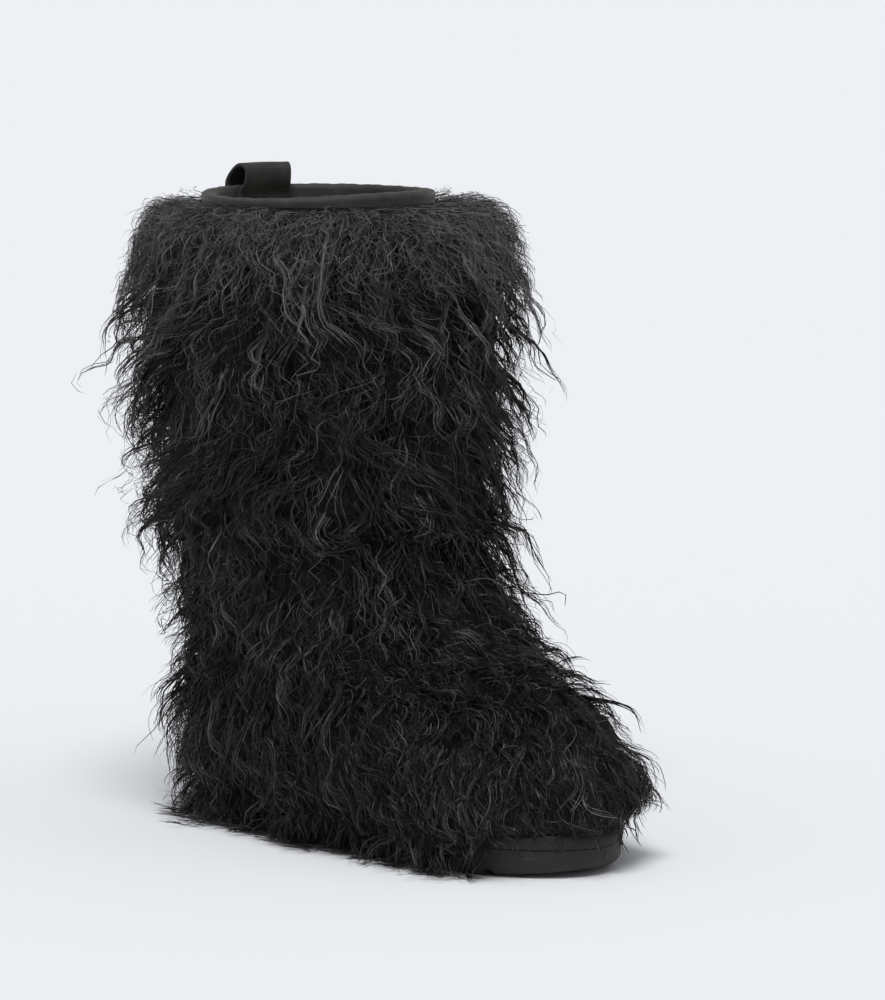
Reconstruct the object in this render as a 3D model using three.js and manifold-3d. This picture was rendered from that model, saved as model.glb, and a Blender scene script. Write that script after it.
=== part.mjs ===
// A woman's tall fur boot for the right foot, standing empty on its sole, in millimetres.
// +X points to the toe, +Y to the inner side of the foot and +Z up.
// The origin is on the floor, at the middle of the heel's tread.
import * as THREE from "three";
import { mergeVertices } from "three/addons/utils/BufferGeometryUtils.js";
import Module from "manifold-3d";

const wasm = await Module();
wasm.setup();

// Sole
const soleLength = 278;
const ballWidth = 102;
const heelRound = 40; // length over which the heel end rounds off
const toeRound = 66; // length over which the toe end rounds off
const toeSwing = 8; // how far the tip of the toe turns to the inner side
const outsoleHeight = 15;
const outsoleInset = 1.5; // how far the outsole stands back under the midsole
const outsoleBevel = 4; // how far its side tucks under, and how high
const toeSpring = 5;
const archRise = 4;
const midsoleHeight = 8;
const midsoleBulge = 1.2; // how far the midsole's side stands out between its edges
const grooveWidth = 4;
const grooveDepth = 3;
const groovePitch = 13;
const insoleThickness = 5;
const insoleLip = 1; // how much lower the insole's edge is than its middle

// Treads, arch and toe spring, as shares of the sole's length from the heel
const heelTreadStart = 0.09;
const heelTreadEnd = 0.34; // the arch starts here
const foreTreadStart = 0.5; // and ends here
const foreTreadEnd = 0.88;
const springStart = 0.76;

// Upper
const upperWall = 2.4;
const featherInset = 4; // how far the upper's lower edge stands in from the midsole's side
const heelBulge = 5; // how far the heel's back curves out above its lower edge
const ankleHeight = 130; // above the floor, at the back line
const ankleTilt = 22; // how much higher the ankle's front is than its back
const ankleLength = 116;
const ankleWidth = 94;
const ankleBack = 13; // from the back of the sole forward to the ankle's back line
const collarHeight = 338; // floor to the top of the binding
const collarLength = 122;
const collarWidth = 118;
const collarBack = 1; // from the back of the sole forward to the collar's back line

// Binding and pull loop
const bindingThickness = 1.6;
const bindingOutside = 12; // depth of the binding below the collar's edge
const bindingInside = 20;
const loopWidth = 36;
const loopThickness = 2.2;
const loopRise = 12.4; // top of the loop above the binding
const loopShift = 6; // how far the loop's middle lies from the back line to the inner side

// Fur
const furDepth = 28; // dense pile, measured from the hide
const furBare = 5; // depth of binding left bare above the fur
const furLip = 3; // thickness of the fur's upper edge, where it stands over the binding
const furShoulder = 18; // height over which it swells from there to its full depth
const lockLength = 66;
const lockReach = 17; // how far a lock's tip swings out from its root
const lockWidth = 19;
const lockWave = 6;
const lockSpacing = 38; // from each lock to the next
const lockForward = 0.25; // how far a lock leans to the toe for each unit it falls
const lockRoot = 0.55; // depth of its root, as a share of the pile there
const floorGap = 2.5; // lowest fur above the floor

const clearance = 0.3;
const around = 28; // points in each ring, an even number

const midsoleBottom = outsoleHeight + clearance;
const midsoleTop = midsoleBottom + midsoleHeight;
const upperBottom = midsoleTop + clearance;
const upperTop = collarHeight - bindingThickness - clearance;

// Half-widths of the sole, as shares of ballWidth, at shares of its length from heel to toe.
const soleShape = [
  { at: 0, outer: 0.36, inner: 0.36 },
  { at: 0.16, outer: 0.375, inner: 0.375 },
  { at: 0.38, outer: 0.405, inner: 0.34 },
  { at: 0.55, outer: 0.47, inner: 0.4 },
  { at: 0.68, outer: 0.5, inner: 0.48 },
  { at: 0.82, outer: 0.48, inner: 0.5 },
  { at: 1, outer: 0.42, inner: 0.47 },
];

// Side view of the foot's rings, from the lower edge to the ankle. back and front are shares of the way
// from the lower edge's ends to the ankle's, backUp and frontUp the same for height, and heel is a share
// of heelBulge.
const footProfile = [
  { back: 0, heel: 0, backUp: 0, front: 0, frontUp: 0 },
  { back: 0.02, heel: 0.75, backUp: 0.12, front: -0.015, frontUp: 0.1 },
  { back: 0.08, heel: 1, backUp: 0.24, front: 0.03, frontUp: 0.22 },
  { back: 0.2, heel: 0.9, backUp: 0.36, front: 0.14, frontUp: 0.325 },
  { back: 0.36, heel: 0.65, backUp: 0.48, front: 0.31, frontUp: 0.41 },
  { back: 0.54, heel: 0.4, backUp: 0.6, front: 0.51, frontUp: 0.505 },
  { back: 0.76, heel: 0.15, backUp: 0.74, front: 0.71, frontUp: 0.63 },
  { back: 0.9, heel: 0.03, backUp: 0.87, front: 0.88, frontUp: 0.79 },
  { back: 1, heel: 0, backUp: 1, front: 1, frontUp: 1 },
];

// Widths of the same rings. width is a share of the way from the lower edge's half-width to the ankle's,
// and bulge a share of that half-width on top. The rounds are shares of the ring's length, and plan says
// how much of the sole's outline the ring keeps.
const footWidths = [
  { width: 0, bulge: 0, backRound: 0.14, frontRound: 0.24, plan: 1 },
  { width: 0, bulge: 0.05, backRound: 0.17, frontRound: 0.28, plan: 0.95 },
  { width: 0, bulge: 0.06, backRound: 0.2, frontRound: 0.34, plan: 0.8 },
  { width: 0.1, bulge: 0.03, backRound: 0.24, frontRound: 0.42, plan: 0.6 },
  { width: 0.3, bulge: -0.02, backRound: 0.28, frontRound: 0.5, plan: 0.4 },
  { width: 0.5, bulge: -0.05, backRound: 0.33, frontRound: 0.55, plan: 0.2 },
  { width: 0.7, bulge: -0.05, backRound: 0.38, frontRound: 0.56, plan: 0.08 },
  { width: 0.85, bulge: -0.02, backRound: 0.43, frontRound: 0.54, plan: 0 },
  { width: 1, bulge: 0, backRound: 0.46, frontRound: 0.52, plan: 0 },
];

// Rings of the shaft above the ankle: shares of the way from the ankle to the collar in height, size
// and back line, and the share of the ankle's tilt that is left.
const shaftRings = [
  { up: 0.25, flare: 0.22, lean: 0.2, tilt: 0.55 },
  { up: 0.5, flare: 0.55, lean: 0.5, tilt: 0.2 },
  { up: 0.75, flare: 0.82, lean: 0.78, tilt: 0 },
  { up: 1, flare: 1, lean: 1, tilt: 0 },
];

const mix = (a, b, share) => a + (b - a) * share;

// Smooth value of one column of a table at a place between its rows.
function sample(table, column, at) {
  const last = table.length - 1;
  const found = table.findIndex((row) => row.at > at);
  const i = found < 0 ? last - 1 : Math.max(found - 1, 0);
  const before = table[Math.max(i - 1, 0)];
  const low = table[i];
  const high = table[i + 1];
  const after = table[Math.min(i + 2, last)];
  const span = high.at - low.at;
  const lowSlope = ((high[column] - before[column]) / (high.at - before.at)) * span;
  const highSlope = ((after[column] - low[column]) / (after.at - low.at)) * span;
  const t = (at - low.at) / span;
  const rise = t * t * (3 - 2 * t);
  const lowPart = t * (1 - t) * (1 - t) * lowSlope;
  const highPart = t * t * (t - 1) * highSlope;
  return mix(low[column], high[column], rise) + lowPart + highPart;
}

// Quarter of an ellipse: 0 at an end, 1 from the given length on.
const rounded = (distance, length) => {
  const left = Math.max(1 - distance / length, 0);
  return Math.sqrt(1 - left * left);
};

// Place k round a ring, from the back forward along the outer side: the share of the way from back to
// front, and the side.
const stationAt = (k) => {
  const turn = (2 * Math.PI * k) / around;
  const wrapped = ((k % around) + around) % around;
  return { along: (1 - Math.cos(turn)) / 2, side: wrapped <= around / 2 ? "outer" : "inner" };
};
const stations = Array.from({ length: around }, (_, k) => stationAt(k));
const sideSign = { outer: -1, inner: 1 };

// Half-width of the sole at a station, before its ends are rounded, as a share of the ball's half-width.
const planShare = ({ along, side }) => 2 * sample(soleShape, side, along);
const swing = (along) => toeSwing * along * along;

// The sole's outline moved in by inset, at the height that heightAt gives for each share of its length.
function soleRing(inset, heightAt) {
  const length = soleLength - 2 * inset;
  return stations.map((station) => {
    const { along, side } = station;
    const ends = rounded(along * length, heelRound - inset) * rounded((1 - along) * length, toeRound - inset);
    const half = (planShare(station) * ballWidth) / 2 - inset;
    return new THREE.Vector3(
      inset + along * length,
      swing(along) + sideSign[side] * half * ends,
      heightAt(along),
    );
  });
}

// Table of the upper's rings in millimetres, a level for each row.
const heelEnd = featherInset;
const toeEnd = soleLength - featherInset;
const featherHalf = ballWidth / 2 - featherInset;
const levels = [
  ...footProfile.map((ring, i) => {
    const { width, bulge, backRound, frontRound, plan } = footWidths[i];
    return {
      backX: mix(heelEnd, ankleBack, ring.back) - heelBulge * ring.heel,
      backZ: mix(upperBottom, ankleHeight, ring.backUp),
      frontX: mix(toeEnd, ankleBack + ankleLength, ring.front),
      frontZ: mix(upperBottom, ankleHeight + ankleTilt, ring.frontUp),
      half: mix(featherHalf, ankleWidth / 2, width) * (1 + bulge),
      backRound,
      frontRound,
      plan,
    };
  }),
  ...shaftRings.map((ring) => {
    const height = mix(ankleHeight, upperTop, ring.up);
    const back = mix(ankleBack, collarBack, ring.lean);
    return {
      backX: back,
      backZ: height,
      frontX: back + mix(ankleLength, collarLength, ring.flare),
      frontZ: height + ankleTilt * ring.tilt,
      half: mix(ankleWidth, collarWidth, ring.flare) / 2,
      backRound: 0.5,
      frontRound: 0.5,
      plan: 0,
    };
  }),
].map((row, at) => ({ at, ...row }));
const topLevel = levels.length - 1;
const shaftStep = (upperTop - ankleHeight) / shaftRings.length;
const belowTop = (drop) => topLevel - drop / shaftStep;

// Point of the upper's outer surface, at any level and any station.
function skinPoint(level, station) {
  const value = (column) => sample(levels, column, level);
  const { along, side } = station;
  const length = Math.hypot(value("frontX") - value("backX"), value("frontZ") - value("backZ"));
  const ends =
    rounded(along * length, value("backRound") * length) *
    rounded((1 - along) * length, value("frontRound") * length);
  const half = value("half") * mix(1, planShare(station), value("plan"));
  return new THREE.Vector3(
    mix(value("backX"), value("frontX"), along),
    swing(along) * value("plan") + sideSign[side] * half * ends,
    mix(value("backZ"), value("frontZ"), along),
  );
}

// Outward normal of the upper at a level and a place k round the ring, level at both open edges.
function skinNormal(level, k) {
  const step = 0.05;
  const up = skinPoint(Math.min(level + step, topLevel), stationAt(k)).sub(
    skinPoint(Math.max(level - step, 0), stationAt(k)),
  );
  const forward = skinPoint(level, stationAt(k + step)).sub(skinPoint(level, stationAt(k - step)));
  const normal = forward.cross(up);
  if (level <= 0 || level >= topLevel) normal.z = 0;
  return normal.normalize();
}

// Ring of the upper pushed out by push, a number or a function of place, and lifted by lift.
const skinRing = (level, push, lift = 0) =>
  stations.map((station, k) => {
    const distance = typeof push === "function" ? push(level, k) : push;
    const point = skinPoint(level, station).addScaledVector(skinNormal(level, k), distance);
    return point.setZ(point.z + lift);
  });

// Faces that close a ring of count points, the first of them at start, across from side to side.
function capFaces(start, count) {
  const faces = [];
  for (let k = 0; k < count / 2; k += 1) {
    const [a, b] = [start + k, start + k + 1];
    const [c, d] = [start + ((count - k - 1) % count), start + ((count - k) % count)];
    if (b !== c) faces.push([a, b, c]);
    if (a !== d) faces.push([a, c, d]);
  }
  return faces;
}

// Closed mesh through rings of equal length, wound counterclockwise seen from the last ring. A sleeve
// joins its last ring to its first, and any other loft has both ends closed.
// Every diagonal runs from its lower ring up and on to the next point, so walls side by side match.
function loft(rings, sleeve = false) {
  const count = rings[0].length;
  const height = (ring) => ring.reduce((sum, point) => sum + point.z, 0);
  const index = [];
  const joins = sleeve ? rings.length : rings.length - 1;
  for (let r = 0; r < joins; r += 1) {
    const other = (r + 1) % rings.length;
    const rising = height(rings[other]) >= height(rings[r]);
    for (let k = 0; k < count; k += 1) {
      const next = (k + 1) % count;
      const [a, b] = [r * count + k, r * count + next];
      const [c, d] = [other * count + next, other * count + k];
      index.push(...(rising ? [a, b, c, a, c, d] : [a, b, d, b, c, d]));
    }
  }
  if (!sleeve) {
    capFaces(0, count).forEach(([a, b, c]) => index.push(a, c, b));
    capFaces((rings.length - 1) * count, count).forEach(([a, b, c]) => index.push(a, b, c));
  }
  const geometry = new THREE.BufferGeometry().setFromPoints(rings.flat());
  geometry.setIndex(index);
  return geometry;
}

// Solids for cutting and joining, and back again.
function solidOf(geometry) {
  const bare = geometry.clone();
  bare.deleteAttribute("normal");
  bare.deleteAttribute("uv");
  const merged = mergeVertices(bare, 1e-4);
  return new wasm.Manifold(
    new wasm.Mesh({
      numProp: 3,
      vertProperties: new Float32Array(merged.attributes.position.array),
      triVerts: new Uint32Array(merged.index.array),
    }),
  );
}

function geometryOf(solid) {
  const mesh = solid.getMesh();
  const geometry = new THREE.BufferGeometry();
  geometry.setAttribute("position", new THREE.BufferAttribute(mesh.vertProperties, 3));
  geometry.setIndex(new THREE.BufferAttribute(mesh.triVerts, 1));
  return geometry;
}

// Treads of the heel and the forefoot, with the arch between them and grooves at even steps.
const archStart = heelTreadEnd * soleLength;
const archEnd = foreTreadStart * soleLength;
function treadBetween(from, to) {
  const count = Math.max(Math.floor((to - from) / groovePitch), 1);
  return { from, count, step: (to - from) / count };
}
const heelTread = treadBetween(heelTreadStart * soleLength, archStart);
const foreTread = treadBetween(archEnd, foreTreadEnd * soleLength);

// Outsole: a plate with its side tucked under, toe spring, an arch between heel and forefoot, and grooves
// across both treads.
function outsole() {
  const spring = (along) => {
    const share = Math.max((along - springStart) / (1 - springStart), 0);
    return toeSpring * share * share;
  };
  const side = [
    { tuck: 1, rise: 0 },
    { tuck: 0.4, rise: 0.45 },
    { tuck: 0, rise: 1.3 },
  ];
  let solid = solidOf(
    loft([
      ...side.map(({ tuck, rise }) =>
        soleRing(outsoleInset + outsoleBevel * tuck, (along) => spring(along) + outsoleBevel * rise),
      ),
      soleRing(outsoleInset, () => outsoleHeight),
    ]),
  );
  const arch = new THREE.Shape();
  arch.moveTo(archStart, -1);
  arch.lineTo(archEnd, -1);
  arch.lineTo(archEnd - archRise, archRise);
  arch.lineTo(archStart + archRise, archRise);
  const across = { depth: 2 * ballWidth, bevelEnabled: false };
  const archCut = new THREE.ExtrudeGeometry(arch, across);
  archCut.rotateX(Math.PI / 2).translate(0, ballWidth, 0);
  solid = solid.subtract(solidOf(archCut));
  for (const tread of [heelTread, foreTread]) {
    for (let i = 0; i < tread.count; i += 1) {
      const x = tread.from + (i + 0.5) * tread.step;
      const groove = new THREE.BoxGeometry(grooveWidth, 2 * ballWidth, 2 * grooveDepth);
      groove.translate(x, 0, spring(x / soleLength));
      solid = solid.subtract(solidOf(groove));
    }
  }
  return geometryOf(solid);
}

// Midsole: the band that shows round the toe, standing out over the outsole.
function midsole() {
  const at = (share) => () => mix(midsoleBottom, midsoleTop, share);
  return loft([
    soleRing(midsoleBulge, at(0)),
    soleRing(midsoleBulge / 4, at(0.2)),
    soleRing(0, at(0.6)),
    soleRing(midsoleBulge / 3, at(0.9)),
    soleRing(midsoleBulge, at(1)),
  ]);
}

// Insole: a footbed that fits inside the upper, on the midsole.
function insole() {
  const edge = -(upperWall + clearance);
  return loft([
    skinRing(0, edge),
    skinRing(0, edge - insoleLip / 2, insoleThickness - insoleLip),
    skinRing(0, edge - 2 * insoleLip, insoleThickness),
  ]);
}

// Upper: one wall from the lower edge to the collar, open at both.
const skinLevels = [
  ...Array.from({ length: topLevel }, (_, level) => level),
  belowTop(bindingOutside + clearance),
  topLevel,
].sort((a, b) => a - b);
function upper() {
  const outside = skinLevels.map((level) => skinRing(level, 0));
  const inside = skinLevels.map((level) => skinRing(level, -upperWall)).reverse();
  return loft([...outside, ...inside], true);
}

// Binding: a strip folded over the collar's edge.
function binding() {
  const near = clearance;
  const far = clearance + bindingThickness;
  const inNear = -upperWall - near;
  const inFar = -upperWall - far;
  const outEdge = belowTop(bindingOutside);
  const inEdge = belowTop(bindingInside);
  const crest = far;
  const shoulder = crest * 0.7;
  return loft(
    [
      skinRing(outEdge, far),
      skinRing(topLevel, far),
      skinRing(topLevel, far - bindingThickness / 2, shoulder),
      skinRing(topLevel, -upperWall / 2, crest),
      skinRing(topLevel, inFar + bindingThickness / 2, shoulder),
      skinRing(topLevel, inFar),
      skinRing(inEdge, inFar),
      skinRing(inEdge, inNear),
      skinRing(topLevel, inNear, near),
      skinRing(topLevel, near, near),
      skinRing(outEdge, near),
    ],
    true,
  );
}

// How many stations, with a fraction, lie within a length of the collar's edge from the back.
function stationsWithin(length) {
  let left = length;
  for (let k = 0; ; k += 1) {
    const side = skinPoint(topLevel, stationAt(k)).distanceTo(skinPoint(topLevel, stationAt(k + 1)));
    if (left < side) return k + left / side;
    left -= side;
  }
}

// Pull loop: a strip sewn outside the collar, led over it and sewn inside, at the back. It leans inwards.
function pullLoop() {
  const outerFace = 2 * clearance + bindingThickness;
  const innerFace = -upperWall - outerFace;
  const halfStrip = loopThickness / 2;
  const middle = (outerFace + innerFace) / 2;
  const halfGap = (outerFace - innerFace) / 2 + halfStrip;
  const rimTop = clearance + bindingThickness;
  // Out and up of the strip's middle line: shares of half the gap between the legs, and of the rise.
  const route = [
    { out: 1, up: -bindingOutside / loopRise },
    { out: 1.06, up: -0.3 },
    { out: 1.04, up: 0.05 },
    { out: 0.97, up: 0.23 },
    { out: 0.33, up: 0.62 },
    { out: -0.55, up: 0.93 },
    { out: -1.25, up: 1 },
    { out: -1.98, up: 0.85 },
    { out: -2.13, up: 0.53 },
    { out: -1.9, up: 0.13 },
    { out: -1.16, up: -0.3 },
    { out: -1.02, up: -0.7 },
    { out: -1, up: -bindingInside / loopRise },
  ];
  const line = new THREE.CatmullRomCurve3(
    route.map(({ out, up }) => new THREE.Vector3(middle + out * halfGap, (loopRise - halfStrip) * up, 0)),
    false,
    "centripetal",
  );
  const steps = 17;
  const edge = (side) =>
    Array.from({ length: steps + 1 }, (_, i) => {
      const tangent = line.getTangent(i / steps);
      const away = new THREE.Vector3(-tangent.y, tangent.x, 0);
      return line.getPoint(i / steps).addScaledVector(away, side * halfStrip);
    });
  const profile = [...edge(1), ...edge(-1).reverse()];
  const innerEnd = -stationsWithin(loopWidth / 2 + loopShift);
  const outerEnd = stationsWithin(loopWidth / 2 - loopShift);
  const places = [innerEnd];
  for (let k = Math.ceil(innerEnd); k <= Math.floor(outerEnd); k += 1) places.push(k);
  places.push(outerEnd);
  // The legs follow the shaft below its edge, and the rest stands straight up from it.
  const place = (k, out, up) => {
    const level = belowTop(Math.max(-up, 0));
    const corner = (at) => skinPoint(level, stationAt(at)).addScaledVector(skinNormal(level, at), out);
    const point = corner(Math.floor(k)).lerp(corner(Math.ceil(k)), k - Math.floor(k));
    return point.setZ(point.z + rimTop + Math.max(up, 0));
  };
  return loft(places.map((k) => profile.map(({ x, y }) => place(k, x, y))));
}

// Depth of the pile, as a share of furDepth, at the back, the sides and the front of each level.
const pile = [
  { at: 0, back: 0.22, side: 0.3, front: 0.26 },
  { at: 1, back: 0.42, side: 0.42, front: 0.36 },
  { at: 3, back: 0.58, side: 0.56, front: 0.56 },
  { at: 6, back: 0.6, side: 0.7, front: 1 },
  { at: 8, back: 0.68, side: 0.82, front: 1.5 },
  { at: topLevel - 2, back: 0.92, side: 1, front: 1.75 },
  { at: topLevel - 1, back: 1.14, side: 1.14, front: 1.75 },
  { at: topLevel - 0.5, back: 1.16, side: 1.16, front: 1.55 },
];
const furTop = belowTop(furBare);
const collarRoom = bindingThickness + loopThickness + 3 * clearance; // from the hide, over binding and loop
const shoulderLevels = [0.06, 0.2, 0.45, 1].map((share) => belowTop(furBare + share * furShoulder));
function pileDepth(level, k) {
  const { along } = stationAt(k);
  const row = Math.min(level, topLevel - 0.5);
  const value = (column) => sample(pile, column, row);
  const ends = value("back") * (1 - along) ** 2 + value("front") * along ** 2;
  const deep = furDepth * (ends + 2 * value("side") * along * (1 - along));
  const below = Math.min(Math.max(((furTop - level) * shaftStep) / furShoulder, 0), 1);
  return mix(collarRoom + furLip, deep, Math.sqrt(1 - (1 - below) ** 2));
}

// Repeatable scatter between -1 and 1.
const scatter = (seed) => {
  const value = Math.sin(seed * 127.1 + 11.7) * 43758.5453;
  return 2 * (value - Math.floor(value)) - 1;
};

// One lock: a wavy tuft with a three-sided section, rooted in the pile and falling to a point.
function lock(level, k, seed) {
  const normal = skinNormal(level, k);
  const down = new THREE.Vector3(lockForward, 0, -1);
  const fall = down.clone().addScaledVector(normal, -down.dot(normal)).normalize();
  const across = new THREE.Vector3().crossVectors(normal, fall);
  const depth = pileDepth(level, k);
  const root = skinPoint(level, stationAt(k)).addScaledVector(normal, depth * lockRoot);
  const lying = Math.max(normal.z, 0);
  const reach = (lockReach * (1 + 0.25 * scatter(seed)) + depth * 0.35) * (1 - 0.4 * lying);
  const room = (root.z + normal.z * reach - floorGap - lockWidth / 8) / Math.max(-fall.z, 0.2);
  const length = Math.min(lockLength * (1 + 0.2 * scatter(seed + 0.3)), room);
  const phase = Math.PI * scatter(seed + 0.6);
  const sway = lockWave * scatter(seed + 0.8);
  const line = (share) =>
    root
      .clone()
      .addScaledVector(normal, reach * (1 - (1 - share) ** 2))
      .addScaledVector(fall, length * share ** 1.25)
      .addScaledVector(across, share * (sway + lockWave * Math.sin(phase + 5.2 * share)));
  const sections = [
    { along: 0, width: 0.9 },
    { along: 0.3, width: 1 },
    { along: 0.58, width: 0.75 },
    { along: 0.82, width: 0.4 },
    { along: 1, width: 0.05 },
  ];
  const rings = sections.map(({ along, width }) => {
    const ahead = line(Math.min(along + 0.02, 1)).sub(line(Math.max(along - 0.02, 0))).normalize();
    const wide = new THREE.Vector3().crossVectors(normal, ahead).normalize();
    const thick = new THREE.Vector3().crossVectors(ahead, wide).normalize();
    const half = (lockWidth / 2) * width;
    return [0, 1, 2].map((corner) => {
      const turn = Math.PI / 2 + (corner * 2 * Math.PI) / 3;
      return line(along)
        .addScaledVector(wide, half * Math.cos(turn))
        .addScaledVector(thick, half * 0.7 * Math.sin(turn));
    });
  });
  return solidOf(loft(rings));
}

// Places of the locks: rows at equal steps of height, and along a row one lock for each patch of hide.
function lockPlaces() {
  const places = [];
  const rows = Math.round((upperTop - upperBottom) / lockSpacing);
  const levelAt = (share) => {
    const height = mix(upperBottom, upperTop - bindingOutside, share);
    const above = levels.findIndex(({ backZ, frontZ }) => (backZ + frontZ) / 2 > height);
    const [low, high] = [levels[above - 1], levels[above]].map(({ backZ, frontZ }) => (backZ + frontZ) / 2);
    return above - 1 + (height - low) / (high - low);
  };
  for (let row = 0; row < rows; row += 1) {
    const [low, high] = [levelAt((row + 0.1) / rows), levelAt((row + 0.9) / rows)];
    const [lower, upper] = [skinRing(low, pileDepth), skinRing(high, pileDepth)];
    const patches = lower.map((point, k) => {
      const girth = point.distanceTo(lower[(k + 1) % around]) + upper[k].distanceTo(upper[(k + 1) % around]);
      return (girth / 2) * (point.distanceTo(upper[k]) / 0.8);
    });
    const area = patches.reduce((sum, patch) => sum + patch, 0);
    const count = Math.round(area / lockSpacing ** 2);
    for (let i = 0; i < count; i += 1) {
      const seed = row * 31 + i;
      let left = (area * (i + 0.25 + (row % 2) / 2)) / count;
      const k = patches.findIndex((patch) => (left -= patch) < 0);
      const share = (left + patches[k]) / patches[k];
      places.push({ level: mix(low, high, 0.5 + 0.5 * scatter(seed + 0.1)), k: k + share, seed });
    }
  }
  return places;
}

// Fur: the dense pile as a coat with locks fused on, cut out for the upper and the collar inside it and
// the sole below.
function fur() {
  const body = skinLevels.filter((level) => level < Math.min(...shoulderLevels));
  const coatLevels = [...body, ...shoulderLevels, furTop].sort((a, b) => a - b);
  const coat = loft(coatLevels.map((level) => skinRing(level, pileDepth)));
  const locks = lockPlaces().map(({ level, k, seed }) => lock(level, k, seed));
  const collarFoot = belowTop(bindingOutside + loopThickness);
  const hideRoom = loft([
    skinRing(0, clearance, -midsoleHeight),
    ...skinLevels.filter((level) => level < collarFoot).map((level) => skinRing(level, clearance)),
    skinRing(collarFoot, clearance),
    skinRing(collarFoot, collarRoom),
    skinRing(topLevel, collarRoom),
  ]);
  const soleGap = 2 * clearance;
  const soleRoom = loft([
    soleRing(-soleGap, () => -floorGap),
    soleRing(-soleGap, () => midsoleTop + clearance / 2),
  ]);
  const whole = wasm.Manifold.union([solidOf(coat), ...locks]);
  return geometryOf(whole.subtract(solidOf(hideRoom)).subtract(solidOf(soleRoom)));
}

const black = (lightness, roughness) =>
  new THREE.MeshStandardMaterial({
    color: new THREE.Color(lightness, lightness, lightness),
    roughness,
    metalness: 0,
  });
const materials = {
  rubber: black(0.03, 0.75),
  foam: black(0.035, 0.8),
  suede: black(0.02, 0.95),
  hide: black(0.02, 0.9),
  fleece: new THREE.MeshStandardMaterial({ color: 0xe9dfc3, roughness: 1, metalness: 0 }),
  wool: black(0.015, 0.7),
};

const boot = new THREE.Group();
const add = (name, geometry, material) => {
  const mesh = new THREE.Mesh(geometry, materials[material]);
  mesh.name = name;
  boot.add(mesh);
};
add("outsole", outsole(), "rubber");
add("midsole", midsole(), "foam");
add("insole", insole(), "fleece");
add("upper", upper(), "hide");
add("collar_binding", binding(), "suede");
add("pull_loop", pullLoop(), "suede");
add("fur", fur(), "wool");

const heelRest = heelTread.from + Math.round(heelTread.count / 2) * heelTread.step;
boot.position.set(-heelRest, 0, 0);

export default boot;
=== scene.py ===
import math
from types import SimpleNamespace

import bpy
import numpy as np
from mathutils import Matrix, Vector, noise as soft_noise
from mathutils.bvhtree import BVHTree


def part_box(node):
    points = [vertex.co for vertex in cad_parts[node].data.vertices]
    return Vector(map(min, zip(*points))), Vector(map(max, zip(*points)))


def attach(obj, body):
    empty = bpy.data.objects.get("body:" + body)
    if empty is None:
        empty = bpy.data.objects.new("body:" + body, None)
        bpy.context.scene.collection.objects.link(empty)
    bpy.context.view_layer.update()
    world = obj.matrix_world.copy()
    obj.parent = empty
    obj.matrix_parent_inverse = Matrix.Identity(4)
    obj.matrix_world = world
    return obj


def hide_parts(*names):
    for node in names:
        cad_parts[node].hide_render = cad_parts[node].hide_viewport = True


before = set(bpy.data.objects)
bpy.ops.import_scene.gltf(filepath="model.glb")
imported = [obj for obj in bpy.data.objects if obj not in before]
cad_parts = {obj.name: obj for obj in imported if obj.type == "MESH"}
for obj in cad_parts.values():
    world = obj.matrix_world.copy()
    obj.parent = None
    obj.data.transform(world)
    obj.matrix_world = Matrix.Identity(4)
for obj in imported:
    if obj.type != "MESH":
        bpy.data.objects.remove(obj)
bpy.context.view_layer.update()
rng = np.random.default_rng(7)
MM = 0.001

# Camera
TARGET = Vector((0.064, 0.0, 0.170))
AZIMUTH = math.radians(50)
DISTANCE = 2.6
EYE_HEIGHT = 0.497
FOCAL_PX = 5018
FRAME_TALL = 1000
AIM_RIGHT, AIM_UP = 0.0211, 0.0094  # from the target to what the camera looks at

# Binding and pull loop, as in the solids
WALL = 2.4 * MM
CLEAR = 0.3 * MM
BINDING = 1.6 * MM
BINDING_OUTSIDE = 12 * MM
BINDING_INSIDE = 20 * MM
LOOP_WIDTH = 36 * MM
LOOP_THICK = 2.2 * MM
LOOP_RISE = 12.4 * MM
LOOP_SHIFT = 6 * MM  # to the inner side
FUR_BARE = 5 * MM  # binding left bare above the fur
RIM_WAVE = 2 * MM
AZIMUTH_OUT = math.radians(40)  # from straight ahead to where the rim is level, round to the outer side
BINDING_FACE = CLEAR + BINDING  # from the hide to the binding's face
SEAM_OUTSIDE = 8.6 * MM  # below the collar's edge
SEAM_INSIDE = 17.2 * MM
STITCH_PITCH = 3.2 * MM
COLLAR_STITCH, LOOP_STITCH = (2.3 * MM, 0.28 * MM), (2.2 * MM, 0.27 * MM)  # length and radius
LOOP_SEAM = 0.86  # place of the loop's stitches, from its middle to its edge
UP = np.array([0, 0, 1.0])

# Fur
CLUMPS, CLUMP_SPACING = 2500, 5.7 * MM
CLUMP_PARTS = 7  # a narrow lock and six hairs
FRIZZ, FRIZZ_SPACING = 5000, 3.4 * MM
SHOULDER_HAIRS = 2500
FUZZ, FUZZ_ALL_OVER = 10600, 4240  # in all, and how many of them aren't kept to the upper edge
OUTER_BACK = np.array([-0.643, -0.766])  # level direction in which the fur is fullest
STRAND_PIECES = 4  # the hairs of the clumps are shared out over as many meshes
GUIDE_STEPS = 20
CREASE_Z, CREASE_TILT = 0.125, 0.15  # hair of the shaft hangs free where the hide in front tilts up like this
FREE_FALL = np.array([0.08, 0, -1.0])  # of hair that hangs past the hide's lower edge
CREASE_FALL = np.array([0.32, 0, -1.0])  # of hair that hangs free from the shaft
FLOOR_LIFT = 1.3 * MM
LAID_OUT, CURLED_UP, CURL_TOP = 0.8, 0.16, 4 * MM  # shares of what would sink under the floor, and a limit
MIDDLE = np.array([0.06, 0.0])  # of the boot, seen from above
SIDE_REACH, SIDE_SPARE = 112 * MM, 10 * MM  # from the middle line, and how much more stray hairs may have
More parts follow.
